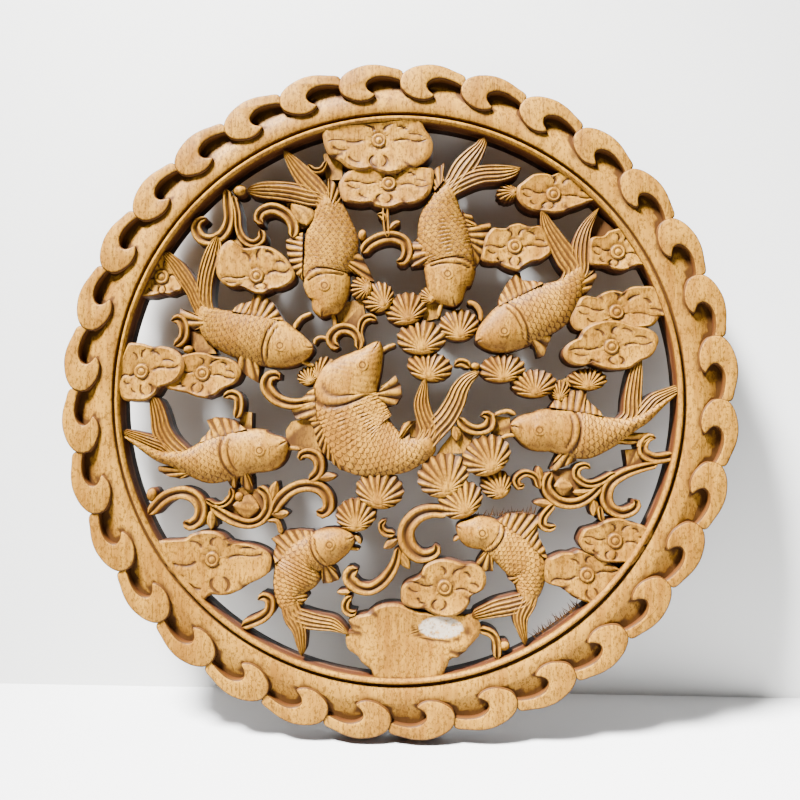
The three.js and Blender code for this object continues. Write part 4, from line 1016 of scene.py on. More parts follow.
LEAVES = (
    Leaf((-6.9, 93), 21.4, (
        (-27.6, 94.8), (-27, 91.5), (-25.8, 88.3), None, (-21.3, 85.5), (-18.6, 83.2), (-15, 81.9), (-11.8, 82),
        (-9.5, 83), None, (-7.1, 81.4), (-3.5, 80.4), (0.2, 81), (3.1, 82.9), None, (6.6, 83), (9.8, 85),
        (12.2, 87.8), (12.8, 91.4), (11.7, 94.6), (9.4, 97.8), (9, 101), None, (-28, 98))),
    Leaf((-3.2, 77.3), 19.9, (
        (-21.6, 76.7), (-20.2, 71.4), (-17.5, 70.2), (-13.8, 69.8), (-10.1, 70.2), None, (-8.3, 68.9), (-4.6, 68),
        (-1.4, 68.4), (1.4, 69.6), None, (5, 69.6), (8.2, 70.5), (10.5, 72.1), (11.9, 73.9), (13, 78), (13, 82.2),
        (10.7, 83.1), (0, 84), (-12, 84), (-18.5, 81.7), (-20.4, 79.4))),
    Leaf((-51.2, 43.3), 20.0, (
        (-61, 56.5), (-56, 53.5), (-50, 54.3), (-46, 53.7), (-42.5, 51.6), (-39.5, 48.5), (-37, 43.5),
        (-38.5, 40.8), (-42, 38.9), (-45, 38.5), None, (-48.5, 36.7), (-52, 37), (-57, 39.4), None, (-60, 39),
        (-63, 40), (-65.7, 43.6), (-66, 48), (-65, 53))),
    Leaf((-86.5, 43.1), 18.0, (
        (-96, 36), (-92.8, 35.8), (-90, 35.8), (-86.3, 36.7), (-83.1, 36.5), None, (-80.3, 37.8), (-78.5, 38.5),
        (-79, 44), (-84, 51), (-90, 49))),
    Leaf((56.5, 73), 20.4, (
        (43.5, 76), (44.9, 77.1), (46.8, 78.7), (49.3, 80.3), (53.3, 80.6), (56, 80), None, (60, 82), (72, 72),
        (69.6, 70.4), (66.4, 69), (63.2, 68.1), None, (60, 66.5), (56.4, 66), (53.2, 66.5), None, (49, 67),
        (46.8, 67.9), (44.9, 69.3), (43.5, 71.3), (43.1, 73.6))),
    Leaf((42.6, 54.1), 19.6, (
        (31, 53), (32, 57.5), (34.5, 60.8), (36.8, 60.7), (39.4, 60.7), None, (40.7, 61.8), (43.8, 62.5),
        (46.6, 61.6), None, (48.8, 61.1), (52, 61.3), (55, 56), (56.1, 52.2), (54.3, 50.4), (52, 49), (48.9, 48.5),
        (46.2, 47.1), None, (43.9, 44.9), (41.2, 45.5), (38.5, 46.7), None, (36.7, 48.1), (33.1, 48.1),
        (30.4, 49.2))),
    Leaf((79.5, 52), 20.0, (
        (69.8, 57), (74.2, 57.7), (76, 59.6), None, (79.6, 60.5), (83, 60), (91, 47), (87.5, 47.4), (85.3, 46.8),
        None, (83, 45.6), (80.3, 45.2), (77.5, 45.8), None, (74.8, 47), (71.6, 47.2), (69.2, 47.7), (69, 52))),
    Leaf((79, 30.3), 19.4, (
        (64.1, 31.7), (65, 34), (65.9, 35.3), (68.1, 36.2), (71.3, 35.5), None, (73.5, 36.9), (75.8, 37.8),
        (78.5, 38), (81.2, 37.3), None, (83, 38.9), (85.7, 39.6), (88.8, 39.6), (91, 39.6), (95, 38), (98.5, 29),
        (95, 29.4), (93.2, 27.1), (90.5, 25), (80, 24), (66, 23.3), (62.7, 25.7), (62.3, 27.5), (62.7, 28.9))),
    Leaf((76.9, 17.7), 21.3, (
        (59.6, 16), (60.9, 18.2), (63.2, 19.8), (65.1, 20.5), None, (66.3, 23.3), (68.6, 25.2), (72.4, 26.6),
        (76.3, 27.2), (80.1, 26.9), (83.5, 25.8), (86.6, 24.8), (90, 24.1), (92.3, 22.5), (93.4, 20.6), (93, 18.3),
        (91.7, 15.6), (89.8, 13.6), (87.7, 13), (83.6, 10.1), (80.6, 9.6), (76.8, 9.4), (73.7, 10), (71.4, 10.7),
        (69.5, 11.7), None, (67.6, 10.9), (64.5, 10.9), (61.9, 11.7), (60, 13.6))),
    Leaf((-92.6, 8.1), 21.3, (
        (-97.8, 17.7), (-95.7, 18.4), (-92.5, 18.4), (-88.9, 17.2), None, (-85.7, 17.5), (-82.1, 16.8),
        (-79.3, 15.2), (-77.4, 12.9), (-76.7, 10.2), (-77.3, 7.4), (-79.6, 4.7), (-82.8, 3.3), (-85.5, 2.7), None,
        (-87.3, -0.3), (-90.4, -2.5), (-94.5, -2.8), (-99.4, -1.6), (-101, 8))),
    Leaf((-70.4, 7.5), 19.8, (
        (-74.3, 15), (-69.7, 15), (-65.6, 13.6), (-62.4, 13.4), (-58.7, 12), (-56.3, 9), (-56.8, 6.1),
        (-58.6, 3.8), (-62.6, 2), (-65.3, -0.3), None, (-69, -1.6), (-72.6, -1), (-76.3, 0.4), (-79.9, 1.1),
        (-83.6, 2.5), (-82, 9), (-80, 13))),
    Leaf((-65.4, -59.3), 21.3, (
        (-86, -54), (-80, -52.6), (-75.4, -52.1), (-73.1, -50.1), None, (-69.5, -49.2), (-65, -49.2),
        (-61.8, -50.5), (-59.4, -52.8), None, (-56.7, -53.4), (-52.6, -53.6), (-48.5, -54.7), (-45.3, -56.5),
        (-44, -58.4), (-44.2, -61.2), (-45, -63.8), (-47.6, -65.7), (-51.6, -67.6), None, (-54.4, -69.6),
        (-58.5, -71.5), (-62, -71.9), (-66.1, -71.9), (-70, -74), (-80, -64))),
    Leaf((3, -86), 19.4, (
        (-16.5, -80.4), (-13.9, -78.7), (-9.8, -77.8), None, (-7.2, -75.6), (-4.1, -74.3), (0, -74), (2.7, -74.5),
        (10, -77), (26, -77.5), (28, -77), (30.5, -81), (30.2, -84.5), (28.9, -86.3), (26.7, -88.5),
        (25.3, -90.3), None, (22.7, -92.5), (19.9, -93), (19.3, -94.8), (18.2, -96.5), (16, -101), (6, -102),
        (-6, -101), (-8, -97.1), (-9.9, -96), (-11.7, -94.3), (-13, -92.3), (-15.2, -91.2), (-16.8, -89.4),
        (-17.2, -86.7), (-17.4, -84.6), None, (-14.6, -84), None), True, (16.5, -82.3, 8.5, 4.2)),
    Leaf((17.8, -68.1), 21.4, (
        (2.3, -70.2), (2.6, -68), (4.6, -66.2), (8.2, -64.6), None, (9.6, -63), (10.5, -60.8), (13.2, -59),
        (16.8, -58.1), (20.5, -58.5), (24.5, -59.7), None, (27.2, -59.5), (29.5, -60.1), (31.7, -62.2),
        (32.5, -64.9), (32, -67.6), (30.3, -69.4), (27.2, -70.8), None, (26.8, -73), (25, -75.7), (21.4, -77.9),
        (17.3, -78.4), (13.6, -77.3), (10.8, -75.7), None, (8, -75.7), (4.4, -74.8), (2.5, -73))),
    Leaf((77.7, -51), 21.2, (
        (64.9, -50.6), (66.6, -47.2), (69.3, -46.3), (71.6, -45.6), None, (73.8, -44), (77, -43.1), (80.6, -43.3),
        (83.3, -44.4), (86, -44.9), (88.7, -46.2), (91, -48), (84, -59), (81.1, -58.6), (76.6, -58.6), (73, -58.2),
        (70.7, -56.7), None, (69.4, -55.8), (66.7, -54.5), (65.1, -52.2))),
    Leaf((68, -63.2), 19.6, (
        (53.1, -58.5), (55.4, -57.1), (59, -55.5), (62.1, -55.5), None, (64.9, -54.4), (70, -56), (78.8, -60.7),
        (80, -63), (71, -74), (68.2, -72.8), (65.8, -72.1), (63, -71), (60.8, -69.2), None, (58.1, -67.4),
        (55.4, -66.8), (53.1, -65.2))),
)

FANS = (
    Fan(-13, 39, 4.4, 4.1, 180), Fan(-6.8, 35.7, 6, 5.5, 130), Fan(3.3, 31.5, 7.8, 6, 105),
    Fan(11.5, 36.5, 4, 3.2, 130, 18.0), Fan(9, 21, 9, 6.3, 92, 19.8), Fan(22.5, 25.7, 7.3, 5.9, 95),
    Fan(12.1, 10.6, 8.4, 5.6, 80), Fan(38.2, 10, 8.4, 5.2, 95), Fan(49.6, 4.5, 8.2, 5.2, 92),
    Fan(68.7, 6.2, 7.1, 4.1, 90, 18.6), Fan(59, 2, 3.5, 4, 80, 18.0), Fan(-32, 7, 4.3, 3.6, 110, 18.0),
    Fan(-26.5, 9.5, 4, 4.8, 60, 18.0), Fan(-5.6, -34, 8.8, 6.9, 80), Fan(-14.2, -43, 7.4, 6.1, 95),
    Fan(17, -28.5, 9.5, 8, 110, 19.6), Fan(32.5, -21.3, 9, 7.2, 115, 20.8), Fan(36, -31.5, 5.6, 5.6, 120, 18.2),
    Fan(23.3, -37.3, 8.3, 6.6, 115, 20.4), Fan(40, 74.3, 3.2, 4, 180, 17.6),
)

SCROLLS = (
    ((-63, 75.5, 1.6), (-62.3, 70, 2), (-61.8, 64.5, 2), (-63.5, 59.5, 2.2), (-67.5, 56.7, 2.2), (-72, 57.3, 2.2),
     (-74, 60.8, 2.1), (-73, 63.8, 1.6), (-70, 64.8, 0.7)),
    ((-66.5, 58, 1.5), (-65.5, 54, 1.5), (-64.8, 50, 1.2)),
    ((-60.5, 73, 1.2), (-58.8, 67, 1.3), (-58.2, 61, 1.4), (-56.3, 56.8, 1.6), (-52.5, 55.2, 1.7),
     (-49.5, 57.5, 1.7), (-50.3, 60.5, 1.2)),
    ((-38.3, 57.5, 1.9), (-37.9, 61.5, 2.1), (-40.5, 65.8, 2.2), (-45.5, 68.4, 2.2), (-49.8, 67.2, 2.1),
     (-50.9, 64.3, 1.9), (-49.2, 62.7, 1)),
    ((-12.7, 51.8, 2), (-10.3, 55, 2.1), (-6, 57.3, 2.2), (-1.5, 57.8, 2.2), (2.5, 56, 2.2), (3.8, 52.5, 2.1),
     (2.3, 49, 1.9), (-0.3, 48.6, 1.2)),
    ((-3.5, 57.5, 1.1), (-4.2, 63.5, 1.3), (-4.5, 69.5, 1.3)),
    ((-4.2, 63.5, 1.3), (-5.5, 65.6, 1.3), (-7.3, 66, 0.9)),
    ((-33, 84.5, 1), (-31, 82.5, 1.2), (-28, 82.8, 1.2), (-26.2, 86, 0.8)),
    ((-81, 17.5, 1.7), (-78, 20.5, 1.9), (-77.7, 24.5, 2), (-79.8, 27.5, 1.9), (-82.3, 26.7, 1.2)),
    ((-58, -8.6, 1.7), (-57, -5, 1.8), (-57.3, -1.3, 1.8), (-60, 0.2, 1.7), (-62.7, -1.2, 1)),
    ((-27, -1, 1.6), (-34, -3, 1.8), (-39, -3.2, 2.1), (-44, -1.3, 2.3), (-47, 2.7, 2.4), (-46.3, 6.3, 2.2),
     (-43.5, 7, 1.8), (-42.3, 5.6, 0.9)),
    ((-13.6, 16.5, 1.8), (-13.7, 20.3, 1.7), (-16.5, 23.6, 2), (-20.5, 24, 2), (-23.4, 21.5, 2.2), (-23, 18.3, 2),
     (-20.7, 17.3, 1.4)),
    ((-12, 18.5, 0.9), (-13.2, 23, 1.1), (-12.2, 27, 1.5), (-9.5, 28.3, 1.4), (-7.2, 27.2, 0.9)),
    ((22.5, -8, 1.7), (25, -11, 2), (29, -12.4, 1.9), (33, -11.3, 2.2), (34, -8.2, 2), (32.3, -6.7, 1.5),
     (30.5, -7.3, 0.7)),
    ((21, 10.8, 1.2), (22.8, 12, 1.5), (25, 11.5, 1.6), (26.5, 10, 1.3)),
    ((-89, -43.5, 2), (-84.5, -38.5, 2.3), (-80.5, -36.3, 2.3), (-76, -35.8, 2.4), (-72, -37.8, 2.4),
     (-70.1, -41.5, 2.4), (-71, -45.3, 2.3), (-74, -47.3, 2.2), (-76.3, -46, 1.8)),
    ((-66.5, -40.2, 1.5), (-63, -42.8, 1.9), (-58.5, -45.3, 2), (-53, -46.7, 1.8), (-48.5, -45.3, 1.8),
     (-45.6, -41, 1.9), (-46.3, -36.3, 1.8), (-49.5, -33.4, 1.7)),
    ((-68.5, -38, 1), (-65, -40, 1), (-61.5, -39.5, 1.2), (-59, -36.5, 1.3), (-59.5, -33.8, 1)),
    ((-44, -42.5, 1.6), (-42, -38.5, 2.2), (-38.5, -35, 2.2), (-34.5, -33.1, 2.2), (-30.5, -32.8, 2.2),
     (-26.8, -34, 2.3), (-24.3, -37, 2.3), (-24, -40.5, 2.2), (-26.3, -42.7, 1.9), (-28.2, -41.6, 1.2)),
    ((-31, -30.8, 1.8), (-28.2, -28.5, 2), (-27.3, -25.5, 2.1), (-28.5, -22.5, 2.2), (-31.5, -21, 1.9),
     (-34.3, -22, 1.4), (-34.3, -23.8, 0.7)),
    ((19, -42, 2.2), (13.5, -41.4, 2.4), (8.5, -42.8, 2.8), (5, -46.2, 3), (3.9, -50.3, 3.1), (5.2, -54.5, 3),
     (8.5, -57.3, 2.7), (12, -57.3, 2.2), (14.8, -55.5, 1.9), (14.5, -53.3, 1.2)),
    ((-3.2, -44.6, 0.9), (-5, -46.5, 1.2), (-3.7, -49.2, 1.5), (0, -49.6, 1.4)),
    ((1.2, -54.5, 1.2), (0.6, -58.5, 1.7), (-1, -62.5, 2), (-4.2, -66.7, 2.2), (-8.5, -69.3, 2.2),
     (-13, -68.8, 2.3), (-16, -66, 2.6), (-15.6, -63.4, 2.4), (-13.2, -62.3, 1.5)),
    ((-15.3, -71.8, 1), (-17.3, -74, 1.5), (-17.2, -77, 1.5), (-15, -78, 1.3), (-13.5, -77, 0.9)),
    ((51.5, -33, 1.3), (50, -29, 1.3), (46.3, -27.6, 1.4), (43.3, -29.8, 1.5), (44.3, -32.6, 1.3),
     (46, -31.5, 1)),
    ((55.5, -27.2, 1.6), (53.9, -30.5, 1.8), (54.3, -33.8, 2), (57, -37, 2), (61, -38.3, 2), (65.5, -37.8, 1.9),
     (69.5, -35.4, 1.8), (73, -32, 1.6)),
    ((78, -27.2, 1.2), (73, -30.3, 1.5), (68.5, -31.2, 1.4), (64.8, -29, 1.6), (64.8, -25.8, 1.5),
     (67.7, -24.6, 1.2), (69.3, -25.8, 0.9)),
    ((93, -24, 1.4), (86, -25.8, 1.7), (80.5, -28, 2), (76.3, -31.3, 2.2), (75, -35.8, 2.4), (76.5, -39.8, 2.3),
     (80.3, -41.5, 2.2), (84.2, -40.2, 2), (85.7, -38, 1.7), (84.6, -36.6, 1)),
    ((72.5, -39, 1), (73.5, -44.5, 1.2)),
    ((56.5, -38.5, 1.3), (52.9, -43, 1.6), (52.8, -46.2, 1.7), (55.3, -47, 1.4), (57.2, -46, 0.8)),
    ((-54.5, -83, 1.9), (-48, -80.3, 2), (-44.9, -77.5, 1.9), (-44.6, -74, 1.9), (-47, -72.4, 1.6),
     (-48.9, -73.6, 0.9)),
    ((30, -82.7, 1.5), (34.3, -84.2, 1.6), (36.3, -87.2, 1.6), (36.5, -93, 1.5)),
    ((99, -21, 1.9), (92.5, -22, 2), (88.5, -20.3, 2.1), (88.2, -17, 1.8), (90.3, -14.5, 1.5), (92.5, -14.9, 1)),
)

PETALS = (
    ((20.8, -11, 1.2), (21.8, -14, 1.7), (21.8, -16.3, 0.6)), ((-44.3, -38, 1.2), (-43.8, -34.5, 1.9), (-42.7, -31.2, 0.5)),
    ((-44.5, -43, 0.5), (-41.3, -43, 1.9), (-38.3, -42.6, 0.5)), ((-46, -45.3, 0.8), (-42.5, -45.8, 0.9), (-40.8, -50, 1)),
    ((-28.5, -30, 0.8), (-24.5, -29.6, 1.7), (-21.3, -29.2, 0.4)), ((0.8, -51.5, 1.2), (-1.8, -53.3, 1.7), (-4, -54.8, 0.4)),
    ((1.5, -56, 1), (3.2, -59, 1.9), (5.3, -62, 0.5)), ((-16, -70.5, 1.1), (-19, -70.6, 1), (-20.6, -70.5, 0.4)),
    ((52, -30, 1.2), (51.3, -27, 1.3), (51, -25, 0.5)), ((56, -38.6, 1), (52.5, -38.2, 1.5), (49.4, -38.1, 0.5)),
    ((70.3, -36.5, 1.2), (70.8, -40, 1.7), (70.3, -42.6, 0.5)), ((-3, 60.5, 1), (-1, 62.5, 1.1), (1, 63.3, 0.8)),
    ((-39, 70, 1), (-34.5, 66, 4), (-33, 62, 1)), ((-58.5, -40, 1.2), (-53, -40.5, 4.3), (-49, -41, 1.2)),
    ((56.5, -32.1, 1), (59.7, -32.1, 3.4), (63, -32.1, 1)), ((63.2, -34.2, 0.9), (66.5, -34.3, 1.2), (70.5, -33.2, 0.8)),
    ((86, -18, 1), (88.5, -16, 1.6), (92, -14, 0.6)), ((-66, -42, 1), (-66.6, -45.5, 1.7), (-66, -49, 0.5)),
)

BUDS = (
    (-58.2, 75.2, 2.7, 2.2), (-12.8, 58.5, 1.6, 2.2), (-76, 16.3, 2, 1.6), (28.5, 10.6, 1.8, 1.4),
    (-88.3, -36.5, 2, 2.6), (39, -88.5, 2.0, 1.8), (-56.5, -37, 1.8, 1.8),
)

GROUNDS = (
    ((-75.5, 23), (-70, 23.5), (-66, 15), (-75, 15)),
    ((-39.5, -19.5), (-40, -13), (-38, -9.8), (-34, -8.8), (-29, -8.6), (-26, -14), (-25, -21), (-32, -20.5)),
    ((36, -7.4), (41, -7.6), (41, -14), (34.5, -14)),
    ((16, -19), (20, -14), (24, -11.6), (28.5, -13.5), (25, -20.6), (15, -21)),
    ((-22, 32), (-18, 34.2), (-12.6, 35), (-11.5, 29), (-14, 25), (-21.5, 26.2)),
    ((9, 31), (11, 34.5), (15.5, 35), (16, 28.5), (10, 27)),
    ((72, 66.4), (69.8, 57.5), (74, 58), (79, 60.6)),
    ((82, -19), (87, -18.6), (88.4, -24), (83, -26)),
    ((70.3, -56), (78.8, -61), (81.5, -58), (73, -57.5)),
    ((-57, -14), (-52.5, -13.6), (-52.5, -6.5), (-57, -6)),
    ((-69.5, -47.2), (-64.2, -47.5), (-65, -41.5), (-67.6, -41)),
    ((-26.4, 79.3), (-20.6, 79.5), (-20.4, 85.5), (-24, 90), (-27.5, 89)),
    ((-41, 70.5), (-34.5, 72), (-30, 66.5), (-31, 62), (-36.5, 61)),
    ((-61, 57.5), (-55.5, 56), (-54, 50), (-65, 48), (-64, 55)),
    ((-62, -37.5), (-56, -33.6), (-49, -34.5), (-46, -40), (-48, -45.5), (-56, -46), (-63, -42.5)),
    ((56, -27), (64, -25.5), (65.5, -31), (71, -33.5), (64, -38), (57, -37), (54.5, -31)),
    ((57.5, 3.6), (66, 3.6), (64, 7.8), (58.5, 5.5)),
    ((2.5, -10), (8.5, -9), (8.5, -15), (3.5, -15)),
)


@dataclass
class HollowShade:
    """A map over the panel of the carving's height, which paints shade on what lies low, in the hollows."""

    board: Board
    step: float = 0.8
    height: np.ndarray = field(default_factory=lambda: np.zeros((0, 0)))

    def cells(self, points: np.ndarray) -> tuple[np.ndarray, np.ndarray]:
        """Map cells of the points.

        Args:
            points: Places in millimetres from the centre.

        Returns:
            Row and column numbers.
        """
        spot = np.round((points[:, :2] + self.board.outer + 4) / self.step).astype(int)
        limit = self.height.shape[0] - 1
        spot = np.clip(spot, 0, limit)
        return spot[:, 0], spot[:, 1]

    def lay(self, shells: list[Shell]) -> None:
        """Lays the tops of all solids on the map.

        Args:
            shells: The solids.
        """
        count = int((2 * self.board.outer + 8) / self.step) + 1
        self.height = np.zeros((count, count))
        points = np.vstack([s.points for s in shells])
        order = np.argsort(points[:, 2], kind="stable")
        rows, columns = self.cells(points[order])
        self.height[rows, columns] = points[order, 2]

    def shade(self, points: np.ndarray) -> np.ndarray:
        """How far each point is sunk below what stands round it, which is how much shade is painted on it.

        Args:
            points: Points of the finished solid.

        Returns:
            Values from nought to one.
        """
        known = (self.height > 0).astype(float)
        around = self.blur(self.height * known) / np.maximum(self.blur(known), 0.15)
        rows, columns = self.cells(points)
        carved = points[:, 2] > self.board.thickness / 3
        return carved * np.clip((around[rows, columns] - points[:, 2] - 0.35) / 3.0, 0, 1)

    @staticmethod
    def blur(grid: np.ndarray, reach: int = 3) -> np.ndarray:
        """Spreads each cell over its neighbours.

        Args:
            grid: The map.
            reach: Cells either way.

        Returns:
            The spread map.
        """
        weights = bump(np.arange(-reach, reach + 1), reach / 1.6)
        weights /= weights.sum()
        for axis in (0, 1):
            grid = sum(w * np.roll(grid, k - reach, axis=axis) for k, w in enumerate(weights))
        return grid


@dataclass(frozen=True)
class WoodFinish:
    """Pale camphor-like wood: oiled faces, painted shade in the cuts and hollows, and dark sawn walls with painted
    shade toward the back.
    """

    pale: Colour = (0.245, 0.118, 0.013)
    warm: Colour = (0.142, 0.059, 0.006)
    # colour of the painted shade in the cuts, the hollows and on the low faces
    shade_brown: Colour = (0.034, 0.0128, 0.003)
    wall_front: Colour = (0.034, 0.01, 0.003)
    wall_line: Colour = (0.075, 0.03, 0.011)
    # near black: painted shade on the sawn walls toward the back
    wall_back_shade: Colour = (0.011, 0.006, 0.004)
    filler: Colour = (0.3, 0.265, 0.21)
    gloss: float = 0.06
    rough: float = 0.5
    bump_depth: float = 0.0004

    def grain(self) -> bpy.types.ShaderNodeTree:
        """Builds the wood grain as a node group.

        Returns:
            The group, which puts out a light-and-dark mask, pores and a height.
        """
        tree = bpy.data.node_groups.new("wood_grain", "ShaderNodeTree")
        face = tree.interface
        face.new_socket("Place", in_out="INPUT", socket_type="NodeSocketVector")
        face.new_socket("Tone", in_out="OUTPUT", socket_type="NodeSocketFloat")
        face.new_socket("Pores", in_out="OUTPUT", socket_type="NodeSocketFloat")
        face.new_socket("Height", in_out="OUTPUT", socket_type="NodeSocketFloat")
        nodes = Wiring(tree)
        start = nodes.add("NodeGroupInput")
        end = nodes.add("NodeGroupOutput")
        place = start.outputs["Place"]
        broad = nodes.noise(place, (9, 9, 2.4), 3.0, 4.0, 0.6)
        streak = nodes.noise(place, (260, 260, 16), 1.0, 5.0, 0.65)
        pore = nodes.noise(place, (900, 900, 70), 1.0, 2.0, 0.5)
        mottle = nodes.noise(place, (60, 60, 45), 1.0, 3.0, 0.6)
        dark = nodes.ramp(pore, 0.60, 0.70)
        tone = nodes.math("ADD", nodes.math("MULTIPLY", broad, 0.4), nodes.math("MULTIPLY", streak, 0.38))
        tone = nodes.math("ADD", tone, nodes.math("MULTIPLY", mottle, 0.22))
        nodes.link(nodes.ramp(tone, 0.4, 0.6), end.inputs["Tone"])
        nodes.link(dark, end.inputs["Pores"])
        high = nodes.math("SUBTRACT", nodes.math("MULTIPLY", streak, 0.6), nodes.math("MULTIPLY", dark, 0.5))
        nodes.link(high, end.inputs["Height"])
        return tree

    def material(self, board: Board) -> bpy.types.Material:
        """Builds the material.

        Args:
            board: Gives the thickness and the places of the wear.

        Returns:
            The material.
        """
        wood = bpy.data.materials.new("carved_wood")
        wood.use_nodes = True
        nodes = Wiring(wood.node_tree)
        shader = wood.node_tree.nodes["Principled BSDF"]
        coords = nodes.add("ShaderNodeTexCoord").outputs["Object"]
        grain = nodes.add("ShaderNodeGroup")
        grain.node_tree = self.grain()
        nodes.link(coords, grain.inputs["Place"])
        sunk = nodes.attribute("sunk").outputs["Fac"]
        marks = nodes.attribute("marks").outputs["Vector"]
        relief = nodes.add("ShaderNodeGroup")
        relief.node_tree = self.relief()
        nodes.link(marks, relief.inputs["Marks"])
        # Painted shade in the cuts and hollows, from the cut mask, how far each point is sunk, and the scale seams
        # and vein strokes; partly also the darker stain these places hold.
        painted_shade = nodes.math("ADD", nodes.attribute("cut").outputs["Fac"], nodes.math("MULTIPLY", sunk, 1.05))
        split = nodes.add("ShaderNodeSeparateXYZ")
        nodes.link(coords, split.inputs[0])
        deep = nodes.math("MULTIPLY", split.outputs["Y"], -1 / (board.thickness * MM))
        front = nodes.ramp(deep, 0.3, 0.5)
        painted_shade = nodes.math("ADD", painted_shade, nodes.math("MULTIPLY", relief.outputs["Dark"], front))
        face = nodes.mix(grain.outputs["Tone"], self.warm, self.pale)
        face = nodes.mix(nodes.math("MULTIPLY", grain.outputs["Pores"], 0.6), face, self.warm_dark())
        speck = nodes.noise(coords, (540, 540, 320), 1.0, 3.0, 0.75)
        face = nodes.mix(nodes.ramp(speck, 0.5, 0.6, 0.72), face, self.warm_dark())
        face = nodes.mix(nodes.ramp(painted_shade, 0.0, 0.66, 0.96), face, self.shade_brown)
        # painted shade on the low faces: below about two thirds of the thickness they turn up to a quarter darker
        face = nodes.mix(nodes.ramp(deep, 0.68, 0.5, 0.25), face, self.shade_brown)
        face = self.patch(nodes, coords, face, board, front)
        normal = nodes.add("ShaderNodeNewGeometry").outputs["True Normal"]
        side = nodes.add("ShaderNodeSeparateXYZ")
        nodes.link(normal, side.inputs[0])
        upright = nodes.ramp(nodes.math("ABSOLUTE", side.outputs["Y"]), 0.42, 0.12)
        ragged = nodes.noise(coords, (90, 90, 90), 1.0, 3.0, 0.6)
        level = nodes.math("ADD", deep, nodes.math("MULTIPLY", nodes.math("SUBTRACT", ragged, 0.5), 0.16))
        # The sawn walls: their own dark colour with a paler line halfway, going near black toward the back as
        # painted shade deep in the openings, and a little paler toward the front face.
        wall = nodes.mix(nodes.ramp(level, 0.30, 0.44), self.wall_back_shade, self.wall_front)
        line = nodes.math("MULTIPLY", nodes.ramp(level, 0.34, 0.40), nodes.ramp(level, 0.50, 0.43))
        wall = nodes.mix(nodes.math("MULTIPLY", line, 0.6), wall, self.wall_line)
        edge = nodes.math("MULTIPLY", nodes.ramp(level, 0.62, 0.95), 0.3)
        wall = nodes.mix(edge, wall, self.warm)
        colour = nodes.mix(upright, face, wall)
        nodes.link(colour, shader.inputs["Base Color"])
        rough = nodes.math("ADD", self.rough, nodes.math("MULTIPLY", sunk, 0.25))
        nodes.link(rough, shader.inputs["Roughness"])
        shader.inputs["Specular IOR Level"].default_value = self.gloss
        scar = nodes.add("ShaderNodeBump")
        scar.inputs["Strength"].default_value = 0.5
        scar.inputs["Distance"].default_value = self.bump_depth
        tools = nodes.noise(coords, (380, 380, 240), 1.0, 3.0, 0.6)
        high = nodes.math("ADD", grain.outputs["Height"], nodes.math("MULTIPLY", tools, 0.8))
        carved = nodes.math("MULTIPLY", relief.outputs["Height"], front)
        high = nodes.math("ADD", high, nodes.math("MULTIPLY", carved, 2.4))
        nodes.link(high, scar.inputs["Height"])
        nodes.link(scar.outputs["Normal"], shader.inputs["Normal"])
        return wood

    def relief(self) -> bpy.types.ShaderNodeTree:
        """Builds the fine carving as a node group: fish scales and leaf veins.

        Returns:
            The group, which puts out how much shade is painted and how high each place is.
        """
        tree = bpy.data.node_groups.new("fine_carving", "ShaderNodeTree")
        face = tree.interface
        face.new_socket("Marks", in_out="INPUT", socket_type="NodeSocketVector")
        face.new_socket("Dark", in_out="OUTPUT", socket_type="NodeSocketFloat")
        face.new_socket("Height", in_out="OUTPUT", socket_type="NodeSocketFloat")
        nodes = Wiring(tree)
        start, end = nodes.add("NodeGroupInput"), nodes.add("NodeGroupOutput")
        split = nodes.add("ShaderNodeSeparateXYZ")
        nodes.link(start.outputs["Marks"], split.inputs[0])
        along, across, kind = split.outputs
        row = nodes.math("FLOOR", along)
        ahead = nodes.math("SUBTRACT", along, row)
        side = nodes.math("SUBTRACT", across, nodes.math("FRACT", nodes.math("MULTIPLY", row, 0.5)))
        side = nodes.math("SUBTRACT", side, nodes.math("ROUND", side))
        bend = nodes.math("POWER", nodes.math("ABSOLUTE", nodes.math("DIVIDE", side, SCALE_ROUND)), 2.0)
        edge = nodes.math("SQRT", nodes.math("MAXIMUM", nodes.math("SUBTRACT", 1.0, bend), 0.0))
        gap = nodes.math("SUBTRACT", ahead, edge)
        seam = nodes.math("MULTIPLY", nodes.ramp(gap, -0.1, 0.02), nodes.ramp(gap, 0.42, 0.04))
        scaled = nodes.math("MAXIMUM", kind, 0.0)
        lift = nodes.math("MULTIPLY", nodes.math("SUBTRACT", ahead, nodes.ramp(gap, -0.04, 0.03)), scaled)
        # painted shade in the seam under each scale's free edge
        dark = nodes.math("MULTIPLY", nodes.math("MULTIPLY", seam, 1.1), scaled)
        leafy = nodes.math("MAXIMUM", nodes.math("MULTIPLY", kind, -1.0), 0.0)
        flat = nodes.add("ShaderNodeCombineXYZ")
        nodes.link(along, flat.inputs[0])
        nodes.link(across, flat.inputs[1])
        strokes = 0.0
        for vein in VEINS:
            far = nodes.distance(flat.outputs[0], vein.middle)
            bent = nodes.math("SUBTRACT", nodes.distance(flat.outputs[0], vein.pivot), vein.radius)
            bent = nodes.math("ABSOLUTE", bent)
            taper = nodes.ramp(far, vein.reach, vein.reach * 0.5)
            stroke = nodes.math("MULTIPLY", nodes.ramp(bent, 0.036, 0.008), taper)
            strokes = nodes.math("MAXIMUM", strokes, stroke)
        strokes = nodes.math("MULTIPLY", strokes, leafy)
        # Dark is painted shade in the scale seams and the vein strokes
        nodes.link(nodes.math("ADD", dark, nodes.math("MULTIPLY", strokes, 0.85)), end.inputs["Dark"])
        nodes.link(nodes.math("SUBTRACT", lift, strokes), end.inputs["Height"])
        return tree

    def warm_dark(self) -> Colour:
        """The colour of the open pores."""
        return tuple(0.45 * w for w in self.warm)

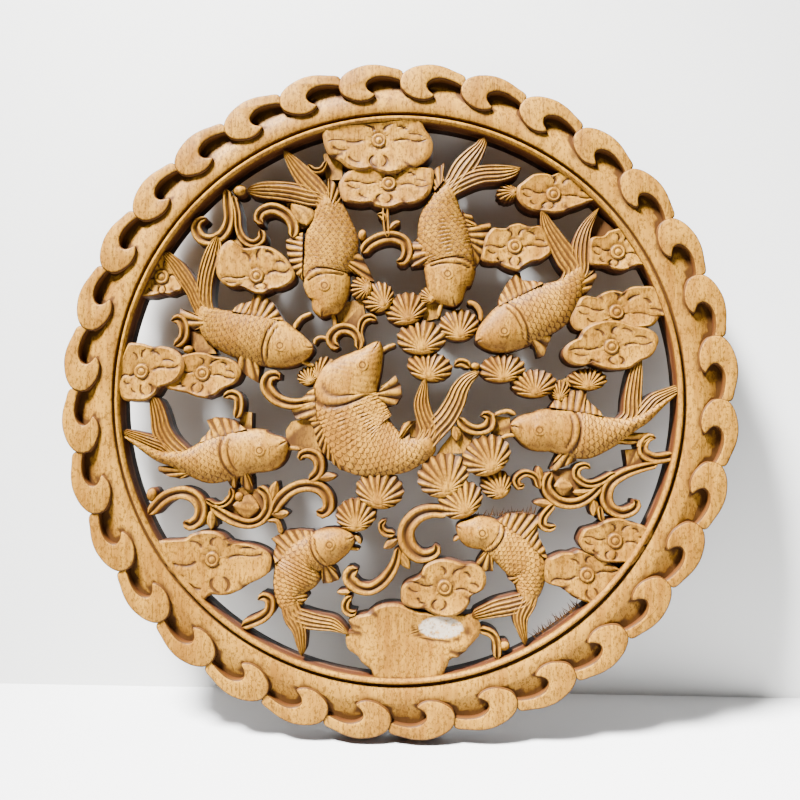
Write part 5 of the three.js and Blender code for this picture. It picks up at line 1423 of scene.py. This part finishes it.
    def patch(self, nodes: Wiring, coords: Socket, face: Socket, board: Board, front: Socket) -> Socket:
        """Lays the pale worn filler over the bottom leaf.

        Args:
            nodes: The material's wiring.
            coords: Object coordinates.
            face: Colour so far.
            board: Gives the unit.
            front: One on the carved side.

        Returns:
            The new colour.
        """
        unit = board.unit * MM
        spot = nodes.add("ShaderNodeMapping")
        spot.vector_type = "TEXTURE"
        spot.inputs["Location"].default_value = (16.5 * unit, 0, board.centre_up * MM - 82.3 * unit)
        spot.inputs["Scale"].default_value = (8.5 * unit, 1, 4.2 * unit)
        nodes.link(coords, spot.inputs["Vector"])
        axes = nodes.add("ShaderNodeSeparateXYZ")
        nodes.link(spot.outputs["Vector"], axes.inputs[0])
        across = nodes.math("POWER", nodes.math("ABSOLUTE", axes.outputs["X"]), 2.0)
        along = nodes.math("POWER", nodes.math("ABSOLUTE", axes.outputs["Z"]), 2.0)
        gap = nodes.math("ADD", across, along)
        ragged = nodes.noise(coords, (330, 330, 330), 1.0, 4.0, 0.7)
        gap = nodes.math("ADD", gap, nodes.math("MULTIPLY", nodes.math("SUBTRACT", ragged, 0.5), 0.9))
        mask = nodes.math("MULTIPLY", nodes.ramp(gap, 0.95, 0.7), nodes.ramp(ragged, 0.3, 0.55))
        return nodes.mix(nodes.math("MULTIPLY", mask, nodes.math("MULTIPLY", front, 0.85)), face, self.filler)


@dataclass
class Wiring:
    """Adds and links nodes in one tree."""

    tree: bpy.types.NodeTree

    def add(self, kind: str) -> bpy.types.Node:
        """Adds a node of that kind."""
        return self.tree.nodes.new(kind)

    def link(self, source: Feed, target: Socket) -> None:
        """Joins an output or a plain value to an input."""
        if isinstance(source, bpy.types.NodeSocket):
            self.tree.links.new(source, target)
        elif isinstance(source, tuple):
            target.default_value = (*source, 1.0)
        else:
            target.default_value = source

    def attribute(self, name: str) -> bpy.types.Node:
        """Adds a node that reads an attribute of the mesh.

        Args:
            name: The attribute's name.

        Returns:
            The node.
        """
        node = self.add("ShaderNodeAttribute")
        node.attribute_name = name
        return node

    def distance(self, place: Socket, spot: tuple[float, float]) -> Socket:
        """Measures from a fixed spot.

        Args:
            place: The place measured.
            spot: The fixed spot.

        Returns:
            The distance.
        """
        node = self.add("ShaderNodeVectorMath")
        node.operation = "DISTANCE"
        self.link(place, node.inputs[0])
        node.inputs[1].default_value = (*spot, 0.0)
        return node.outputs["Value"]

    def math(self, operation: str, first: Feed, second: Feed = 0.0) -> Socket:
        """Adds a math node.

        Args:
            operation: What it does.
            first: Its first input.
            second: Its second input.

        Returns:
            Its output.
        """
        node = self.add("ShaderNodeMath")
        node.operation = operation
        self.link(first, node.inputs[0])
        self.link(second, node.inputs[1])
        return node.outputs[0]

    def mix(self, share: Feed, first: Feed, second: Feed) -> Socket:
        """Mixes two colours.

        Args:
            share: How much of the second.
            first: The first colour.
            second: The second colour.

        Returns:
            The mix.
        """
        node = self.add("ShaderNodeMix")
        node.data_type = "RGBA"
        self.link(share, node.inputs["Factor"])
        self.link(first, node.inputs[6])
        self.link(second, node.inputs[7])
        return node.outputs[2]

    def ramp(self, value: Feed, start: float, stop: float, top: float = 1.0) -> Socket:
        """Makes a smooth step from nought at start to top at stop.

        Args:
            value: What is stepped.
            start: Where the step starts. It may be the higher end.
            stop: Where it stops.
            top: Its height.

        Returns:
            The stepped value.
        """
        node = self.add("ShaderNodeMapRange")
        node.interpolation_type = "SMOOTHSTEP"
        low, high = min(start, stop), max(start, stop)
        self.link(value, node.inputs["Value"])
        self.link(low, node.inputs["From Min"])
        self.link(high, node.inputs["From Max"])
        self.link(0.0 if start < stop else top, node.inputs["To Min"])
        self.link(top if start < stop else 0.0, node.inputs["To Max"])
        return node.outputs["Result"]

    def noise(
        self, place: Socket, stretch: tuple[float, float, float], scale: float, detail: float, rough: float
    ) -> Socket:
        """Makes a noise stretched along the axes.

        Args:
            place: Where it is read.
            stretch: Features in a metre along each axis.
            scale: Scale over all.
            detail: Octaves.
            rough: Weight of the finer octaves.

        Returns:
            Values from nought to one.
        """
        mapping = self.add("ShaderNodeMapping")
        mapping.inputs["Scale"].default_value = stretch
        self.link(place, mapping.inputs["Vector"])
        node = self.add("ShaderNodeTexNoise")
        node.inputs["Scale"].default_value = scale
        node.inputs["Detail"].default_value = detail
        node.inputs["Roughness"].default_value = rough
        self.link(mapping.outputs["Vector"], node.inputs["Vector"])
        return node.outputs[0]


@dataclass
class CarvedPanel:
    """The whole panel as one joined piece."""

    board: Board
    finish: WoodFinish = WoodFinish()

    def object_of(self, shell: Shell, name: str) -> bpy.types.Object:
        """Makes a mesh object of a solid, in metres, with its faces pointing out.

        Args:
            shell: The solid, in millimetres round the centre.
            name: The object's name.

        Returns:
            The object.
        """
        mesh = bpy.data.meshes.new(name)
        x, up, high = shell.points.T * MM
        mesh.from_pydata(np.stack([x, -high, up], axis=1).tolist(), [], shell.faces)
        shape = bmesh.new()
        shape.from_mesh(mesh)
        bmesh.ops.recalc_face_normals(shape, faces=shape.faces)
        shape.to_mesh(mesh)
        shape.free()
        corners = np.zeros(len(mesh.loops), np.int32)
        mesh.loops.foreach_get("vertex_index", corners)
        cut = mesh.attributes.new("cut", "FLOAT", "CORNER")
        cut.data.foreach_set("value", shell.cut[corners].astype(np.float32))
        marks = mesh.attributes.new("marks", "FLOAT_VECTOR", "CORNER")
        marks.data.foreach_set("vector", shell.marks[corners].astype(np.float32).reshape(-1))
        made = bpy.data.objects.new(name, mesh)
        bpy.context.scene.collection.objects.link(made)
        return made

    def crests(self, material: bpy.types.Material) -> list[bpy.types.Object]:
        """Repeats one crest round the border with geometry nodes, every other one at a time.

        Args:
            material: The wood.

        Returns:
            Two meshes whose crests take turns round the border.
        """
        tree, count, phase = self.repeater(material)
        made = []
        for step in range(2):
            half = self.object_of(Border(self.board).crest(), f"wave_crests_{step}")
            repeat = half.modifiers.new("repeat", "NODES")
            repeat.node_group = tree
            repeat[count] = CREST_COUNT // 2
            repeat[phase] = step * 2 * math.pi / CREST_COUNT
            made.append(self.settled(half))
        return made

    def repeater(self, material: bpy.types.Material) -> tuple[bpy.types.GeometryNodeTree, str, str]:
        """Builds the geometry nodes that copy a shape round the panel's centre.

        Args:
            material: The wood.

        Returns:
            The tree, and the identifiers of its count and phase inputs.
        """
        tree = bpy.data.node_groups.new("round_the_border", "GeometryNodeTree")
        face = tree.interface
        face.new_socket("Geometry", in_out="INPUT", socket_type="NodeSocketGeometry")
        count = face.new_socket("Count", in_out="INPUT", socket_type="NodeSocketInt")
        phase = face.new_socket("Phase", in_out="INPUT", socket_type="NodeSocketFloat")
        face.new_socket("Geometry", in_out="OUTPUT", socket_type="NodeSocketGeometry")
        nodes = Wiring(tree)
        start, end = nodes.add("NodeGroupInput"), nodes.add("NodeGroupOutput")
        dots = nodes.add("GeometryNodePoints")
        copies = nodes.add("GeometryNodeInstanceOnPoints")
        solid = nodes.add("GeometryNodeRealizeInstances")
        dress = nodes.add("GeometryNodeSetMaterial")
        turn = nodes.add("ShaderNodeCombineXYZ")
        pitch = nodes.math("DIVIDE", 2 * math.pi, start.outputs["Count"])
        angle = nodes.math("MULTIPLY", nodes.add("GeometryNodeInputIndex").outputs[0], pitch)
        nodes.link(nodes.math("ADD", angle, start.outputs["Phase"]), turn.inputs["Y"])
        nodes.link(start.outputs["Count"], dots.inputs["Count"])
        nodes.link(dots.outputs[0], copies.inputs["Points"])
        nodes.link(start.outputs["Geometry"], copies.inputs["Instance"])
        nodes.link(turn.outputs[0], copies.inputs["Rotation"])
        nodes.link(copies.outputs[0], solid.inputs[0])
        nodes.link(solid.outputs[0], dress.inputs["Geometry"])
        dress.inputs["Material"].default_value = material
        nodes.link(dress.outputs[0], end.inputs[0])
        return tree, count.identifier, phase.identifier

    @staticmethod
    def settled(made: bpy.types.Object) -> bpy.types.Object:
        """Turns an object's modifiers into its own mesh.

        Args:
            made: The object.

        Returns:
            The same object.
        """
        bpy.context.view_layer.update()
        graph = bpy.context.evaluated_depsgraph_get()
        mesh = bpy.data.meshes.new_from_object(made.evaluated_get(graph))
        made.modifiers.clear()
        made.data = mesh
        return made

    @staticmethod
    def triangles(made: bpy.types.Object) -> int:
        """How many triangles the object's mesh holds."""
        return sum(len(face.vertices) - 2 for face in made.data.polygons)

    def build(self) -> bpy.types.Object:
        """Carves every motif, joins them and dresses the piece.

        Returns:
            The finished panel.
        """
        knife = Knife(self.board)
        shells = {
            "carp": [s for fish in CARP for s in fish.shells(knife)],
            "leaf": [s for leaf in LEAVES for s in leaf.shells(knife)],
            "fan": [s for fan in FANS for s in fan.shells(knife)],
            "weed": [knife.ribbon(path, channel, 9, WEED_STEP) for path in SCROLLS],
            "petal": [knife.ribbon(path, blade, 7, PETAL_STEP) for path in PETALS],
            "bud": [bud(knife, *sizes) for sizes in BUDS],
            "ground": [ground(knife, outline) for outline in GROUNDS],
            "fibre": [s for torn in FIBRES for s in torn.shells(knife)],
        }
        for kind, made in shells.items():
            LOG.info("%s: %d solids, %d faces", kind, len(made), sum(len(s.faces) for s in made))
        material = self.finish.material(self.board)
        border = Border(self.board)
        ring = border.ring()
        panel = self.object_of(ring, "panel_carving")
        parts = bpy.data.collections.new("motifs")
        bpy.context.scene.collection.children.link(parts)
        operands = [self.object_of(s, kind) for kind, made in shells.items() for s in made]
        operands += self.crests(material)
        for part in operands:
            bpy.context.scene.collection.objects.unlink(part)
            parts.objects.link(part)
        union = panel.modifiers.new("join", "BOOLEAN")
        union.operation = "UNION"
        union.solver = "MANIFOLD"
        union.operand_type = "COLLECTION"
        union.collection = parts
        self.settled(panel)
        for part in list(parts.objects):
            bpy.data.objects.remove(part)
        bpy.data.collections.remove(parts)
        pitch = 2 * math.pi / CREST_COUNT
        around = [self.turned(border.crest(), step * pitch) for step in range(CREST_COUNT)]
        self.dress(panel, material, [ring, *around, *[s for made in shells.values() for s in made]])
        LOG.info("panel: %d triangles", self.triangles(panel))
        return panel

    @staticmethod
    def turned(shell: Shell, angle: float) -> Shell:
        """The solid turned clockwise round the panel's centre.

        Args:
            shell: The solid.
            angle: The turn in radians.

        Returns:
            The turned solid.
        """
        turn = np.array([[math.cos(angle), -math.sin(angle)], [math.sin(angle), math.cos(angle)]])
        points = np.hstack([shell.points[:, :2] @ turn, shell.points[:, 2:]])
        return Shell(points, shell.faces, shell.cut, shell.marks)

    def dress(self, panel: bpy.types.Object, material: bpy.types.Material, shells: list[Shell]) -> None:
        """Gives the joined mesh its smooth shading, the painted shade of its hollows, its place and its wood.

        Args:
            panel: The joined object.
            material: The wood.
            shells: The solids it was joined from.
        """
        mesh = panel.data
        flat = np.zeros(len(mesh.vertices) * 3, np.float32)
        mesh.vertices.foreach_get("co", flat)
        places = flat.reshape(-1, 3).astype(float)
        points = np.stack([places[:, 0], places[:, 2], -places[:, 1]], axis=1) / MM
        hollow_shade = HollowShade(self.board)
        hollow_shade.lay(shells)
        shade = hollow_shade.shade(points)
        # painted shade in the hollows: how far each point lies below what stands round it
        attribute = mesh.attributes.new("sunk", "FLOAT", "POINT")
        attribute.data.foreach_set("value", shade.astype(np.float32))
        places[:, 1] = np.clip(places[:, 1], -self.board.thickness * MM, 0)
        places[:, 2] += self.board.centre_up * MM
        mesh.vertices.foreach_set("co", places.astype(np.float32).reshape(-1))
        mesh.materials.clear()
        mesh.materials.append(material)
        mesh.polygons.foreach_set("material_index", np.zeros(len(mesh.polygons), np.int32))
        mesh.polygons.foreach_set("use_smooth", np.ones(len(mesh.polygons), bool))
        mesh.update()
        mesh.set_sharp_from_angle(angle=SHARP_EDGE)


@dataclass(frozen=True)
class Lamp:
    """A soft square lamp.

    Args:
        name: The lamp's name.
        place: Where it stands, in metres.
        size: Its width in metres.
        power: Its power in watts.
        beam: How wide its beam is, in degrees.
    """

    name: str
    place: tuple[float, float, float]
    size: float
    power: float
    beam: float


LAMPS = (
    Lamp("key", (-1.15, -1.25, 2.05), 0.6, 78, 38), Lamp("fill", (1.1, -1.0, 0.3), 0.9, 0.5, 60),
    Lamp("front", (0.1, -1.5, -0.1), 1.0, 0.06, 60), Lamp("rear", (0.3, 1.6, 0.8), 1.2, 9, 90),
)


@dataclass(frozen=True)
class Studio:
    """Camera, soft light, and the pale wall and floor that the panel leans on.

    Args:
        board: The panel's sizes.
        lean: How far the wall leans, in radians.
        aim: How far right of and below the panel's centre the lamps face, in metres.
        lens: The camera's focal length, in millimetres.
        stand: How far the camera is right of, before and below the centre, in millimetres.
        turn: The camera's turn about each axis, in degrees.
        reach: Half width and depth of the backdrop, in metres.
    """

    board: Board
    lean: float = math.radians(7.7)
    aim: float = 0.13
    lens: float = 36.9
    stand: tuple[float, float, float] = (24.4, 600.4, 35.2)
    turn: tuple[float, float, float] = (92.985, -0.43, 2.0)
    reach: float = 3.0

    def camera(self) -> None:
        """Sets the camera at the photograph's place."""
        data = bpy.data.cameras.new("camera")
        data.sensor_width = 36
        data.lens = self.lens
        camera = bpy.data.objects.new("camera", data)
        right, before, below = self.stand
        place = (right, -(self.board.thickness + before), self.board.centre_up - below)
        camera.location = Vector(place) * MM
        camera.rotation_euler = Euler([math.radians(a) for a in self.turn])
        bpy.context.scene.collection.objects.link(camera)
        bpy.context.scene.camera = camera

    def sheet(self, name: str, corners: list[Vector], material: bpy.types.Material) -> None:
        """Adds one flat sheet of the backdrop.

        Args:
            name: The object's name.
            corners: Its corners.
            material: Its paint.
        """
        mesh = bpy.data.meshes.new(name)
        mesh.from_pydata(corners, [], [tuple(range(len(corners)))])
        mesh.materials.append(material)
        made = bpy.data.objects.new(name, mesh)
        bpy.context.scene.collection.objects.link(made)

    def backdrop(self) -> None:
        """Builds the wall and the floor, which are clear from behind."""
        slope, rise = math.sin(self.lean), math.cos(self.lean)
        tall = 2 * self.board.outer * MM
        foot = self.board.centre_up * MM - tall / 2
        corner = Vector((0, tall * slope * rise + 0.002, foot + tall * slope * slope))
        up = Vector((0, -slope, rise))
        out = Vector((0, -rise, -slope))
        side = Vector((1, 0, 0))
        wide = self.reach
        left, right = corner - side * wide, corner + side * wide
        wall = [left, right, right + up * wide, left + up * wide]
        floor = [left, left + out * wide, right + out * wide, right]
        self.sheet("wall", wall, self.paint("wall_paint", (0.54, 0.54, 0.53)))
        self.sheet("floor", floor, self.paint("floor_paint", (0.44, 0.44, 0.44)))

    def paint(self, name: str, colour: Colour) -> bpy.types.Material:
        """A matt paint that is clear from behind, and to the lamps.

        Args:
            name: The material's name.
            colour: Its colour.

        Returns:
            The material.
        """
        material = bpy.data.materials.new(name)
        material.use_nodes = True
        nodes = Wiring(material.node_tree)
        shader = material.node_tree.nodes["Principled BSDF"]
        shader.inputs["Base Color"].default_value = (*colour, 1)
        shader.inputs["Roughness"].default_value = 0.9
        clear = nodes.add("ShaderNodeBsdfTransparent")
        blend = nodes.add("ShaderNodeMixShader")
        behind = nodes.add("ShaderNodeNewGeometry").outputs["Backfacing"]
        lit = nodes.add("ShaderNodeLightPath").outputs["Is Shadow Ray"]
        nodes.link(nodes.math("MAXIMUM", behind, lit), blend.inputs[0])
        nodes.link(shader.outputs[0], blend.inputs[1])
        nodes.link(clear.outputs[0], blend.inputs[2])
        nodes.link(blend.outputs[0], material.node_tree.nodes["Material Output"].inputs["Surface"])
        return material

    def hang(self, lamp: Lamp) -> None:
        """Adds a soft lamp that faces a little below and right of the panel's centre.

        Args:
            lamp: The lamp.
        """
        data = bpy.data.lights.new(lamp.name, "AREA")
        data.size = lamp.size
        data.energy = lamp.power
        data.spread = math.radians(lamp.beam)
        made = bpy.data.objects.new(lamp.name, data)
        made.location = lamp.place
        target = Vector((self.aim, 0, self.board.centre_up * MM - self.aim))
        made.rotation_euler = (target - made.location).to_track_quat("-Z", "Y").to_euler()
        bpy.context.scene.collection.objects.link(made)

    def light(self) -> None:
        """Lights the panel softly from the upper left, with a weak fill and a lamp behind."""
        for lamp in LAMPS:
            self.hang(lamp)
        world = bpy.data.worlds.new("room")
        world.use_nodes = True
        world.node_tree.nodes["Background"].inputs[0].default_value = (1.0, 0.98, 0.95, 1)
        world.node_tree.nodes["Background"].inputs[1].default_value = 0.03
        bpy.context.scene.world = world


def main() -> None:
    """Builds the studio and the panel round the frame."""
    logging.basicConfig(level=logging.INFO)
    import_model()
    low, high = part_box("carved_panel")
    board = Board.from_box(low, high)
    studio = Studio(board)
    studio.camera()
    studio.backdrop()
    studio.light()
    panel = CarvedPanel(board).build()
    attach(panel, "root")
    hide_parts("carved_panel")


if __name__ == "__main__":
    main()
